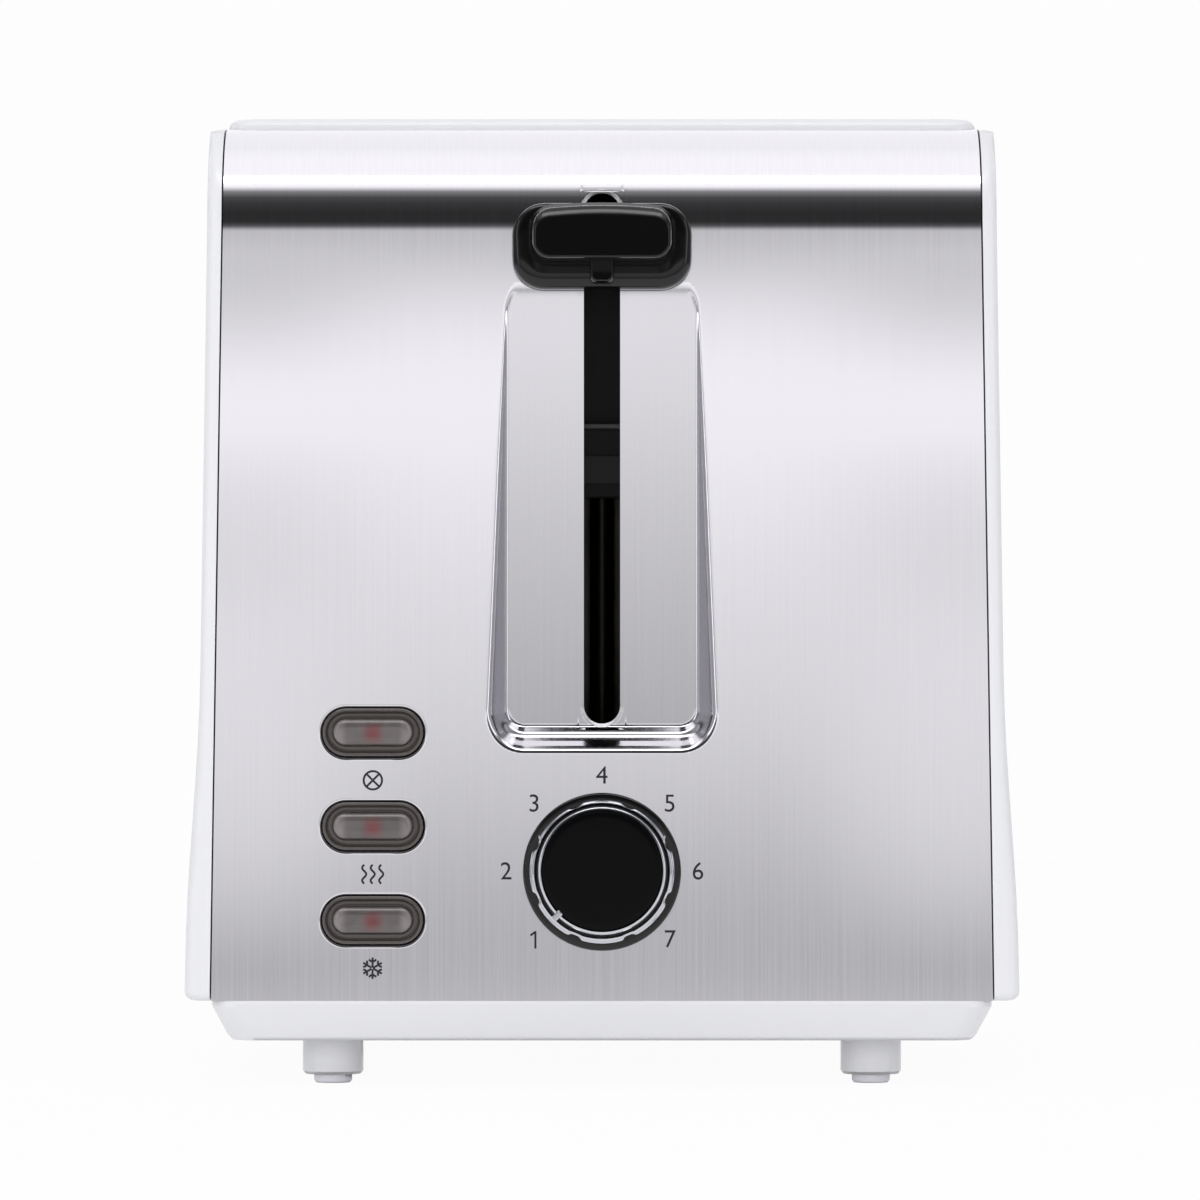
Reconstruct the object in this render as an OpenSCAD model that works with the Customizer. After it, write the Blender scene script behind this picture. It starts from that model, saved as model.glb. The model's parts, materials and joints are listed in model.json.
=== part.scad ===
// Pop-up toaster for two slices, with its controls and lever on one end.
// Frame: millimetres, +Z up, control end towards -Y, origin on the standing plane
// under the middle of the whole object.

/* [Body] */
// Length between the feet of the front and rear steel panels
body_len = 250; // [240:1:270]
// Width of the steel panels at their foot
panel_w = 156.4; // [152:0.2:166]
// Height of the steel panels
panel_h = 176; // [172:1:186]
// Angle that the steel panels lean back
face_slope = 3; // [2.5:0.1:3.5]
// Angle that each side of a steel panel leans in
side_taper = 0.73; // [0.5:0.01:1]
// Outer radius of the bend at the top of a steel panel
bend_r = 21; // [18:0.5:23]
// Thickness of the outer steel sheet
sheet_t = 0.8; // [0.6:0.1:1]
// Length of the steel flange under the top cover
panel_flange = 4; // [3:0.5:6]
// Depth of the lip folded in at the foot of a steel panel
panel_lip = 3; // [2.5:0.5:4]

/* [White mouldings] */
// Wall of the side shells and base, and of the top cover's rim
wall = 2.2; // [1.8:0.1:2.6]
// Width of the side shell's rim beside the steel, at the top
rim_w = 3.2; // [2.8:0.1:4.5]
// How much wider the side shell stands at its foot
flare = 2.2; // [0:0.1:3.5]
// Height over which the side shell flares
flare_h = 60; // [45:1:80]
// How far the side shell stands proud of the steel
rim_proud = 0.6; // [0.4:0.1:1]
// How far the middle of a side shell bulges
side_bulge = 2; // [0:0.5:5]
// Gap between neighbouring outer pieces
seam = 0.3; // [0.2:0.05:0.5]
// Height of the top cover above the steel
cover_h = 2.8; // [2.7:0.1:6]
// Radius of the top cover's edges
cover_edge = 2; // [1.2:0.1:2]
// Thickness of the top cover's plate
cover_t = 1.6; // [1.3:0.1:1.8]
// Height of the base
base_h = 8.1; // [7.6:0.1:12]
// How far the base draws in towards its underside
base_draft = 3.3; // [2:0.1:4]
// Height of a foot below the base
foot_h = 7.8; // [6.8:0.2:14]
// Radius of a foot
foot_r = 6.15; // [5.5:0.05:8]
// Distance between the left and right feet
foot_span = 109.2; // [100:0.2:116]
// Distance from the end of the body to the middle of a foot
foot_inset = 25; // [20:1:32]
// Height of a foot pad below its foot
pad_h = 1.8; // [1.2:0.1:3]
// Radius of a foot pad
pad_r = 3.85; // [3.4:0.05:4.6]

/* [Bread slots and oven] */
// Length of a bread slot
slot_len = 138; // [130:1:142]
// Width of a bread slot
slot_w = 32; // [30:0.5:34]
// Distance between the middles of the two slots
slot_pitch = 62; // [60:0.5:66]
// Corner radius of a bread slot
slot_r = 5; // [3:0.5:8]
// Length of the mechanism bay in front of the oven
front_bay = 52; // [50:1:56]
// Length of the oven outside its end plates
oven_len = 162; // [158:1:166]
// Half the width of the oven inside its reflectors
oven_half = 62; // [61:0.5:65]
// Thickness of the inner sheet
plate_t = 1; // [0.8:0.1:1.2]
// Drop from the steel's shoulder to the oven's top plate
plate_drop = 12; // [11:0.5:15]
// Distance of the outer heater boards from the middle
heater_x = 56; // [54:0.5:58]
// Thickness of a mica heater board
mica_t = 0.8; // [0.6:0.1:1]
// Width of the heating ribbon
ribbon_w = 1.6; // [1.2:0.1:2.4]
// Distance between two turns of the heating ribbon
ribbon_pitch = 12; // [9:0.5:14]
// Radius of the long wires of a bread guard
guard_wire_r = 0.9; // [0.8:0.05:1.1]
// Distance between the upright wires of a guard
guard_pitch = 17; // [13:1:24]

/* [Lever and carriage] */
// Travel of the lever from rest to its latched place
lever_travel = 84; // [78:1:84]
// Extra lift of the lever above rest
lever_lift = 8; // [4:1:8]
// Width of the lever slot
lever_slot_w = 7.3; // [6.6:0.1:9]
// Height of the lower end of the lever slot above the steel's foot
lever_slot_z = 55.8; // [52:0.2:56]
// Drop from the steel's shoulder to the middle of the lever knob at rest
knob_drop = 24.9; // [24:0.1:27]
// Width of the lever knob
knob_w = 36; // [32:0.5:36.5]
// Height of the lever knob
knob_h = 17.4; // [16:0.2:20]
// Thickness of the lever knob's back plate
knob_t = 4.5; // [3.5:0.5:6]
// Reach of the finger ledge in front of the back plate
ledge_reach = 18; // [16:0.5:24]
// Width of the finger ledge
ledge_w = 27.4; // [24:0.2:29]
// Height of the finger ledge
ledge_h = 10; // [8:0.2:10.6]
// Thickness of the lever arm
arm_t = 3; // [2:0.5:4]
// Height of the lever arm
arm_h = 8; // [7:0.5:9]
// Radius of the guide rod
rod_r = 2.5; // [2:0.1:3]
// Height of the bottom of the bread racks above the steel's foot, at rest
rack_z = 101.1; // [99:0.1:102]
// Height of a bread rack's rail
rail_h = 8; // [6:0.5:10]
// Running clearance on a radius
run_gap = 0.06; // [0.04:0.01:0.08]

/* [Controls] */
// Distance of the buttons to the left of the middle
button_x = 45.9; // [42:0.1:50]
// Height of the lowest button up the panel's face
button_v = 16; // [15:0.2:18]
// Distance between two buttons
button_pitch = 18.8; // [16:0.2:19]
// Length of a button's hole
button_len = 20.6; // [18:0.2:24]
// Height of a button's hole
button_h = 10; // [8.5:0.1:11]
// Travel of a button
button_travel = 1.2; // [0.8:0.1:1.4]
// Height of the dial up the panel's face
dial_v = 25.8; // [24:0.2:27]
// Radius of the dial's skirt
dial_r = 15.8; // [14.5:0.1:17]
// Height of the dial off the panel
dial_h = 12; // [10:0.5:14]
// Number of finger scallops round the dial
scallops = 8; // [6:1:12]
// Depth of a finger scallop
scallop_depth = 0.9; // [0.4:0.1:1.2]
// Angle of the dial's pointer from straight up, at rest
pointer_angle = 135; // [0:5:135]
// Radius of the dial's shaft
shaft_r = 3; // [2.5:0.1:3.5]

/* [Crumb tray and cord outlet] */
// Width of the crumb tray
tray_w = 100; // [90:1:102]
// Height of the crumb tray
tray_h = 4.2; // [3.6:0.1:4.6]
// How far the tray's finger lip stands behind the body
tray_lip = 4; // [3:0.5:8]
// Distance of the cord outlet from the middle
gland_x = 58; // [54:1:62]
// Height of the cord outlet up the rear face
gland_v = 15; // [13:0.5:20]
// Radius of the cord outlet's bore
gland_bore_r = 3.6; // [3:0.1:4.2]

/* [Hidden] */
$fn = 48;
eps = 0.02;            // overlap that makes two shapes of one piece join
fit = 0.1;             // gap between two pieces that are pushed together

// ---- Heights ----
z_base = pad_h + foot_h;                   // underside of the base
z_floor = z_base + wall;                   // inside of the base
z_panel = z_base + base_h;                 // foot of the steel panels and top of the base
z_shoulder = z_panel + panel_h;            // top of the steel panels and side shells
z_top = z_shoulder + cover_h;
z_bend = z_shoulder - bend_r;              // centre of the bend
z_tangent = z_bend + bend_r * sin(face_slope);
z_plate = z_shoulder - plate_drop;         // upper face of the oven's top plate
z_chassis = z_panel + 1.1;                 // foot of the oven

// ---- Lengths, measured from the outer face of the front panel at its foot ----
bend_back = (bend_r + (z_bend - z_panel) * sin(face_slope)) / cos(face_slope);
knob_z = z_shoulder - knob_drop;           // middle of the lever knob at rest
pocket_merge_z = knob_z - knob_h / 2 + 0.6; // where the recess runs out into the face
pocket_back = (pocket_merge_z - z_panel) * tan(face_slope);
knob_gap = 0.7;
knob_back = pocket_back - knob_gap;        // back of the lever knob
front_reach = ledge_reach + knob_t - knob_back;
y_mid = (front_reach - tray_lip) / 2;      // middle of the body, so that the origin is the middle of all
y_front = y_mid - body_len / 2;
y_rear = y_mid + body_len / 2;
y_oven = y_front + front_bay;              // front face of the oven's front plate
y_oven_end = y_oven + oven_len;            // rear face of the oven's rear plate
y_oven_mid = (y_oven + y_oven_end) / 2;
y_rod = y_oven - 9;                        // middle of the guide rod
slot_x = slot_pitch / 2;

// ---- Outlines of the body ----
// Half the width of a steel panel at height z
function panel_half(z) = panel_w / 2 - (min(z, z_tangent) - z_panel) * tan(side_taper);
// How far back the panel's skin lies at height z, once moved in by o
function skin(z, o = 0) = z < z_bend + (bend_r - o) * sin(face_slope)
    ? (z - z_panel) * tan(face_slope) + o / cos(face_slope)
    : bend_back - sqrt(max(0, pow(bend_r - o, 2) - pow(z - z_bend, 2)));
function arc(centre, r, from, to, steps) =
    [for (i = [0 : steps]) let (a = from + (to - from) * i / steps) centre + r * [cos(a), sin(a)]];
// A rounded rectangle at height z, as a ring of points
function rounded_ring(w, h, r, z) = [for (p = concat(
        arc([w / 2 - r, r - h / 2], r, -90, 0, 6), arc([w / 2 - r, h / 2 - r], r, 0, 90, 6),
        arc([r - w / 2, h / 2 - r], r, 90, 180, 6), arc([r - w / 2, r - h / 2], r, 180, 270, 6)))
    [p[0], p[1], z]];
function backwards(list) = [for (i = [len(list) - 1 : -1 : 0]) list[i]];
// Points of the panel's skin in the YZ plane, from its foot to the end of its flange
function skin_line(o, foot = z_panel) = concat(
    [[skin(foot, o), foot]],
    arc([bend_back, z_bend], bend_r - o, 180 - face_slope, 90, 20),
    [[bend_back + panel_flange, z_shoulder - o]]);
// Half the width of a side shell at height z
flare_foot = z_panel + 6;
function flare_at(z) = flare * (0.5 + 0.5 * cos(180 * min(1, max(0, (z - flare_foot) / flare_h))));
function shell_half(z) = panel_half(z) + rim_w + flare_at(z);
cover_half = panel_half(z_shoulder);
cover_front = y_front + bend_back + 1;
cover_back = y_rear - bend_back - 1;

// ---- Helpers ----
module along_x(w) rotate([90, 0, 90]) linear_extrude(w, center = true) children();
module along_y(y0, y1) translate([0, y1, 0]) rotate([90, 0, 0]) linear_extrude(y1 - y0) children();
module at_rear() translate([0, 2 * y_mid, 0]) mirror([0, 1, 0]) children();
module both_sides() { children(); mirror([1, 0, 0]) children(); }
// Frame of the front face: X across, Y into the body along the face's normal, Z up the face
module on_face() translate([0, y_front, z_panel]) rotate([-face_slope, 0, 0]) children();
module box(x, y, z) translate([x[0], y[0], z[0]]) cube([x[1] - x[0], y[1] - y[0], z[1] - z[0]]);
// A bar with its axis along Y
module bar(r, y0, y1) translate([0, y0, 0]) rotate([-90, 0, 0]) cylinder(r = r, h = y1 - y0);
module rounded(w, h, r) {
    square([w - 2 * r, h], center = true);
    square([w, h - 2 * r], center = true);
    for (sx = [-1, 1], sy = [-1, 1]) translate([sx * (w / 2 - r), sy * (h / 2 - r)]) circle(r);
}
module stadium(w, h) {
    square([w - h, h], center = true);
    for (s = [-1, 1]) translate([s * (w - h) / 2, 0]) circle(h / 2);
}
// A solid skinned over rings of points, from the lowest ring to the highest
module loft(rings) {
    n = len(rings[0]);
    m = len(rings);
    sides = [for (k = [0 : m - 2], i = [0 : n - 1])
        let (a = k * n + i, b = k * n + (i + 1) % n) each [[a, a + n, b + n], [a, b + n, b]]];
    polyhedron(
        points = [for (ring = rings, p = ring) p],
        faces = concat([[for (i = [0 : n - 1]) i]], sides,
            [[for (i = [n - 1 : -1 : 0]) (m - 1) * n + i]]),
        convexity = 6);
}

// ---- Steel panels ----
module panel_outline(y0, y1) along_y(y0, y1) polygon([
    [-panel_w / 2, z_panel], [panel_w / 2, z_panel],
    [panel_half(z_tangent), z_tangent], [cover_half, z_shoulder + 1],
    [-cover_half, z_shoulder + 1], [-panel_half(z_tangent), z_tangent]]);
module bent_sheet() intersection() {
    translate([0, y_front, 0]) along_x(panel_w + 2) polygon(concat(
        skin_line(0), backwards(skin_line(sheet_t, z_panel + sheet_t)),
        [[panel_lip, z_panel + sheet_t], [panel_lip, z_panel]]));
    panel_outline(y_front - 1, y_front + bend_back + panel_flange + 1);
}

// The recess round the lever: levels of [depth off its floor, growth of its outline]
pocket_half = knob_w / 2 + 0.8;
pocket_z = z_panel + lever_slot_z - 0.4;
pocket_step = 2.3;
pocket_levels = [[0, 0], [0.7, 1.3], [pocket_step, 2], [pocket_step - eps, 2.7], [7, 5.2]];
module pocket_slice(level, skin_t) {
    grow = level[1] + skin_t;
    r = 2.4 + grow;
    y = y_front + pocket_back - level[0] + skin_t;
    half = pocket_half + grow;
    foot = pocket_z - grow;
    along_y(y, y + 0.01) {
        translate([-half, foot + r]) square([2 * half, knob_z + knob_h - foot - r]);
        translate([r - half, foot]) square([2 * (half - r), r]);
        for (s = [-1, 1]) translate([s * (half - r), foot + r]) circle(r, $fn = 32);
    }
}
module pocket(skin_t) for (k = [0, 1, 3]) hull() {
    pocket_slice(pocket_levels[k], skin_t);
    pocket_slice(pocket_levels[k + 1], skin_t);
}
module behind_skin() translate([0, y_front, 0]) along_x(panel_w) polygon(concat(
    skin_line(0), [[bend_back + panel_flange, z_panel]]));
module lever_slot() along_y(y_front - 12, y_front + bend_back)
    translate([0, (z_panel + lever_slot_z + slot_top_z) / 2]) rotate(90)
    stadium(slot_top_z - z_panel - lever_slot_z, lever_slot_w);
module front_panel() color("silver") difference() {
    union() {
        bent_sheet();
        intersection() {
            pocket(sheet_t);
            behind_skin();
        }
    }
    pocket(0);
    lever_slot();
    on_face() {
        each_button() along_y(-2, 4) stadium(button_len, button_h);
        translate([0, 0, dial_v]) bar(shaft_r + 1.5, -2, 4);
    }
}
module rear_panel() color("silver") difference() {
    at_rear() bent_sheet();
    at_rear() on_face() translate([gland_x, 0, gland_v]) bar(gland_neck_r + fit, -2, 4);
}

// ---- Side shells ----
edge_r = 1.8;                              // rounding of a shell's lower edge
corner_r = 2.2;                            // rounding of a shell's upright corners
function shell_ring(z, o, e) = let (
    xo = shell_half(z) - o - e,
    xi = o == 0 ? panel_half(z) + seam : panel_half(z) - 4,
    yf = y_front + skin(z, o + e - rim_proud),
    yr = 2 * y_mid - yf,
    r = max(0.5, corner_r - o),
    along = [for (j = [1 : 7]) let (t = j / 4 - 1)
        [xo + side_bulge * (1 - t * t), y_mid + t * (y_mid - yf - r)]],
    flat = concat([[xi, yf]], arc([xo - r, yf + r], r, -90, 0, 4), along,
        arc([xo - r, yr - r], r, 0, 90, 4), [[xi, yr]]))
    [for (p = flat) [p[0], p[1], z]];
// Heights at which the shell's outline is taken, up to a limit
function shell_heights(limit) = [for (z = concat(
        [for (k = [1 : 9]) flare_foot + flare_h * k / 8],
        [for (a = [face_slope : 9 : 66]) z_bend + bend_r * sin(a)])) if (z < limit - 1) z];
module side_shell() {
    outer = concat(
        [for (a = [0, 30, 60, 90]) shell_ring(z_panel + edge_r * (1 - cos(a)), 0, edge_r * (1 - sin(a)))],
        [for (z = shell_heights(z_shoulder - 0.8)) shell_ring(z, 0, 0)],
        [shell_ring(z_shoulder - 0.8, 0, 0), shell_ring(z_shoulder, 0, 0.8)]);
    inner = [for (z = concat([z_panel + wall], shell_heights(z_shoulder - wall), [z_shoulder - wall]))
        shell_ring(z, wall, 0)];
    rail_in = oven_half + 8;
    rail_y = [y_front + bend_back + panel_flange + seam, y_rear - bend_back - panel_flange - seam];
    color("white") union() {
        difference() {
            loft(outer);
            loft(inner);
        }
        // Rails that sit on the base and carry the cover
        box([rail_in, panel_half(z_panel) + rim_w], rail_y, [z_panel + fit, z_panel + wall - fit]);
        box([rail_in, cover_half + seam + 1], rail_y, [z_shoulder - wall + fit, z_shoulder - fit]);
        for (y = rail_stiffeners(rail_y)) translate([0, y, 0]) along_y(-0.8, 0.8) polygon([
            [rail_in, z_panel + 1], [panel_half(z_panel) + rim_w, z_panel + 1],
            [shell_half(z_panel + 12) - wall / 2, z_panel + 12],
            [shell_half(z_shoulder - 12) - wall / 2, z_shoulder - 12],
            [cover_half + seam + 1, z_shoulder - 1], [rail_in, z_shoulder - 1],
            [cover_half - 2, z_shoulder - 14], [panel_half(z_panel) - 2, z_panel + 14]]);
    }
}
function rail_stiffeners(span) = [for (k = [1 : 4]) span[0] + (span[1] - span[0]) * k / 5];

// ---- Top cover ----
crown = 0.5;
cover_len = cover_back - cover_front;
function cover_ring(z, inset, r = 5) = rounded_ring(2 * (cover_half - inset), cover_len - 2 * inset, r, z);
module slot_outline(grow) rounded(slot_w + 2 * grow, slot_len + 2 * grow, slot_r + grow);
module each_slot() for (s = [-1, 1]) translate([s * slot_x, y_oven_mid, 0]) children();
collar_t = 1.6;
module top_cover() color("white") difference() {
    union() {
        translate([0, y_mid, 0]) difference() {
            loft(concat(
                [cover_ring(z_shoulder, 0)],
                [for (a = [0 : 22.5 : 90])
                    cover_ring(z_top - crown - cover_edge * (1 - sin(a)), cover_edge * (1 - cos(a)))],
                [cover_ring(z_top, 24)]));
            translate([0, 0, z_shoulder - 1]) linear_extrude(cover_h - crown - cover_t + 1)
                rounded(2 * (cover_half - wall), cover_len - 2 * wall, 3);
        }
        each_slot() translate([0, 0, z_plate]) linear_extrude(z_top - crown - 1 - z_plate)
            slot_outline(collar_t);
    }
    each_slot() {
        translate([0, 0, z_plate - 1]) linear_extrude(plate_drop + cover_h + 2) slot_outline(0);
        // Flared mouth
        loft([slot_ring(z_top - 3, -0.3), slot_ring(z_top - 1.2, 0.5), slot_ring(z_top + 0.5, 2.6)]);
    }
}
function slot_ring(z, grow) = rounded_ring(slot_w + 2 * grow, slot_len + 2 * grow, slot_r + grow, z);

// ---- Base, pads, screws ----
pillar_r = 5;
pillar_x = oven_half - 4;
pillar_y = [y_oven + 8, y_oven_end - 8];
screw_r = 1.5;
screw_head_r = 3;
tray_half = tray_w / 2;
rod_socket_h = 6;
module each_foot() for (sx = [-1, 1], y = [y_front + foot_inset, y_rear - foot_inset])
    translate([sx * foot_span / 2, y, 0]) children();
module each_pillar() for (sx = [-1, 1], y = pillar_y) translate([sx * pillar_x, y, 0]) children();
function base_ring(z, inset) = rounded_ring(panel_w - 2 * inset, body_len - 2 * inset, 5, z);
module base() color("white") difference() {
    union() {
        translate([0, y_mid, 0]) difference() {
            loft([base_ring(z_base, base_draft + 0.6), base_ring(z_base + 1, base_draft - 0.3),
                base_ring(z_panel - 1.2, 0), base_ring(z_panel, 0)]);
            loft([base_ring(z_floor, wall + base_draft), base_ring(z_panel + 0.5, wall + 0.2)]);
        }
        each_foot() translate([0, 0, pad_h]) {
            cylinder(r1 = foot_r - 0.5, r2 = foot_r - 0.1, h = 0.6);
            translate([0, 0, 0.6]) cylinder(r = foot_r, h = foot_h - 0.6 + wall / 2);
        }
        each_pillar() translate([0, 0, z_floor - wall / 2])
            cylinder(r = pillar_r, h = z_chassis - z_floor + wall / 2);
        translate([0, y_rod, z_floor - wall / 2]) cylinder(r = rod_r + 2.5, h = rod_socket_h + wall / 2);
        // Rails that guide the crumb tray
        both_sides() box([tray_half + 1, tray_half + 2.6], [y_oven + 2, y_rear - base_draft - wall - 6],
            [z_floor - 1, z_floor + 3]);
    }
    // Way out for the crumb tray, in the rear wall
    box([-tray_half - 1, tray_half + 1], [y_rear - base_draft - wall - 4, y_rear + 1], [z_floor, z_panel + 1]);
    each_pillar() {
        translate([0, 0, z_base - 1]) cylinder(r = screw_r + 0.3, h = z_chassis);
        translate([0, 0, z_base - 1]) cylinder(r = screw_head_r + 0.3, h = 3.4);
    }
    translate([0, y_rod, z_floor]) cylinder(r = rod_r + run_gap, h = rod_socket_h + 1);
    each_foot() translate([0, 0, pad_h - 1]) cylinder(r = pad_stem_r + run_gap, h = pad_stem_h + 1);
    // Air vents under the outer heaters
    both_sides() for (y = [pillar_y[0] + pillar_r + 4 : vent_pitch : pillar_y[1] - pillar_r - 4])
        translate([pillar_x, y, z_base - 1]) linear_extrude(wall + 2) stadium(8, vent_w);
}
vent_w = 2;
vent_pitch = 6;

pad_stem_r = 2.2;
pad_stem_h = 4;
module foot_pad(sx, sy) color("gainsboro")
    translate([sx * foot_span / 2, y_mid + sy * (body_len / 2 - foot_inset), 0]) {
        cylinder(r1 = pad_r - 0.4, r2 = pad_r, h = 0.5);
        translate([0, 0, 0.5]) cylinder(r = pad_r, h = pad_h - 0.5);
        translate([0, 0, pad_h - 0.1]) cylinder(r = pad_stem_r, h = pad_stem_h - 0.1);
    }
module screw(r, head_r, head_h, length) {
    cylinder(r = head_r, h = head_h);
    translate([0, 0, head_h - eps]) cylinder(r = r, h = length - head_h + eps);
}
module base_screws() color("dimgray") each_pillar() translate([0, 0, z_base + 0.2]) difference() {
    screw(screw_r, screw_head_r, 2.2, z_chassis + plate_t + 3.5 - z_base);
    translate([0, 0, -1]) for (a = [0, 90]) rotate(a) translate([-1.8, -0.35, 0]) cube([3.6, 0.7, 2]);
}

// ---- Crumb tray ----
tray_gap = 0.2;
tray_front = y_oven + 4;
tray_wall = 0.8;
handle_t = 3;
module crumb_tray() color("silver") difference() {
    box([-tray_half, tray_half], [tray_front, y_rear - handle_t], [z_floor + tray_gap, z_floor + tray_gap + tray_h]);
    box([-tray_half + tray_wall, tray_half - tray_wall], [tray_front + tray_wall, y_rear - handle_t - tray_wall],
        [z_floor + tray_gap + tray_wall, z_panel + 1]);
}
module crumb_tray_handle() color("white") {
    z0 = z_floor + tray_gap;
    z1 = z_panel - tray_gap;
    along_x(tray_w) polygon([
        [y_rear - handle_t, z0], [y_rear - 0.8, z0], [y_rear + tray_lip - 1.4, z0 + 1.2],
        [y_rear + tray_lip, z0 + 2.2], [y_rear + tray_lip, z0 + 3.2], [y_rear + tray_lip - 1, z0 + 3.6],
        [y_rear, z0 + 3.2], [y_rear - 0.4, z1], [y_rear - handle_t, z1]]);
}

// ---- Cord outlet ----
gland_neck_r = gland_bore_r + 2.3;
module cord_gland() color("white") at_rear() on_face() translate([gland_x, 0, gland_v]) difference() {
    union() {
        bar(gland_neck_r + 2.2, -1.8, 0);
        bar(gland_neck_r + 1.2, -2.6, -1.8 + eps);
        bar(gland_neck_r, -eps, 6);
        bar(gland_neck_r + 1, 0.9 + sheet_t, 3.4);
    }
    bar(gland_bore_r, -4, 8);
}

// ---- Oven ----
guard_gap = 0.5;                           // from a slot's side to its guard at rest
guard_z = z_chassis + 10;                  // height of the guards' pivots
guard_top = z_plate - 11;
guard_inner_x = slot_x - slot_w / 2 + guard_gap;
guard_outer_x = slot_x + slot_w / 2 - guard_gap;
rail_t = 1.6;
rail_z = z_panel + rack_z;                 // bottom of the racks at rest
heater_foot = z_chassis + 4;
heater_head = z_plate - 7;
tab_h = 9;
ribbon_margin = 7;                         // from a board's edge to its first turn of ribbon
tab_places = [heater_foot + ribbon_margin + ribbon_w + 0.4, heater_head - 8 - tab_h];
module end_plate(y) color("lightgray") difference() {
    box([-oven_half - plate_t, oven_half + plate_t], [y, y + plate_t], [z_chassis, z_plate - plate_t]);
    // Slots in which the racks' rails run
    both_sides() box([slot_x - rail_t / 2 - 0.9, slot_x + rail_t / 2 + 0.9], [y - 1, y + plate_t + 1],
        [rail_z - lever_travel - 1.5, rail_z + rail_h + lever_lift + 1.5]);
    // Holes for the guards' pivots
    both_sides() for (x = [guard_inner_x, guard_outer_x])
        translate([x, 0, guard_z]) bar(guard_wire_r + run_gap, y - 1, y + plate_t + 1);
    // Slots for the heater boards' tabs
    for (x = [-heater_x, 0, heater_x], z = tab_places)
        box([x - mica_t / 2 - fit, x + mica_t / 2 + fit], [y - 1, y + plate_t + 1], [z - fit, z + tab_h + fit]);
}
spring_x = -16;
spring_r = 3.5;
spring_wire_r = 0.5;
spring_turns = 14;
spring_top = z_plate - 7;
tab_t = 1;
module end_plate_front() color("lightgray") {
    end_plate(y_oven);
    // Tab that holds the return spring's upper end
    box([spring_x - 5, spring_x + 5], [y_rod - 5, y_oven + eps], [spring_top, spring_top + tab_t]);
}
module end_plate_rear() end_plate(y_oven_end - plate_t);
top_plate_front = y_rod - 12;
module oven_top_plate() color("lightgray") translate([0, 0, z_plate - plate_t]) linear_extrude(plate_t)
    difference() {
        translate([-oven_half - plate_t, top_plate_front])
            square([2 * (oven_half + plate_t), y_oven_end - top_plate_front]);
        each_slot() slot_outline(0);
        translate([0, y_rod]) circle(rod_r + run_gap);
    }
module reflector() color("lightgray") difference() {
    union() {
        box([oven_half, oven_half + plate_t], [y_oven + plate_t, y_oven_end - plate_t],
            [z_chassis, z_plate - plate_t]);
        box([oven_half - 9, oven_half + eps], [y_oven + plate_t, y_oven_end - plate_t],
            [z_chassis, z_chassis + plate_t]);
    }
    each_pillar() translate([0, 0, z_chassis - 1]) cylinder(r = screw_r + 0.05, h = plate_t + 2);
}

// ---- Heaters ----
board_y = [y_oven + plate_t + 5, y_oven_end - plate_t - 5];
module heater_board(x) color("tan") translate([x, 0, 0]) {
    box([-mica_t / 2, mica_t / 2], board_y, [heater_foot, heater_head]);
    for (z = tab_places)
        box([-mica_t / 2, mica_t / 2], [y_oven + 0.2, y_oven_end - 0.2], [z, z + tab_h]);
}
ribbon_t = 0.25;
ribbon_turns = floor((heater_head - heater_foot - 2 * ribbon_margin) / ribbon_pitch);
// One ribbon wound round a board: level on the face towards +X, stepping up on the other
module heater_winding(x) color("dimgray") translate([x, 0, 0]) {
    y0 = board_y[0] - ribbon_t;
    y1 = board_y[1] + ribbon_t;
    z_first = heater_foot + ribbon_margin;
    side = mica_t / 2 + ribbon_t;
    for (k = [0 : ribbon_turns - 1]) {
        z = z_first + k * ribbon_pitch;
        box([mica_t / 2, side], [y0, y1], [z, z + ribbon_w]);
        box([-side, side], [y1 - ribbon_t, y1], [z, z + ribbon_w]);
        if (k < ribbon_turns - 1) {
            box([-side, side], [y0, y0 + ribbon_t], [z + ribbon_pitch, z + ribbon_pitch + ribbon_w]);
            translate([-side + ribbon_t / 2, 0, 0]) along_x(ribbon_t) polygon([
                [y1, z], [y1, z + ribbon_w],
                [y0, z + ribbon_pitch + ribbon_w], [y0, z + ribbon_pitch]]);
        }
    }
}

// ---- Bread guards ----
guard_y = [y_oven + plate_t + 5, y_oven_end - plate_t - 5];
guard_uprights = floor((guard_y[1] - guard_y[0] - 4) / guard_pitch) + 1;
module guard(x) color("gray") translate([x, 0, 0]) {
    translate([0, 0, guard_z]) bar(guard_wire_r, y_oven - 1.2, y_oven_end + 1.2);
    translate([0, 0, guard_top]) bar(guard_wire_r, guard_y[0], guard_y[1]);
    spread = (guard_uprights - 1) * guard_pitch;
    for (k = [0 : guard_uprights - 1]) translate([0, (guard_y[0] + guard_y[1] - spread) / 2 + k * guard_pitch, guard_z])
        cylinder(r = guard_wire_r - 0.25, h = guard_top - guard_z);
}

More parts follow.
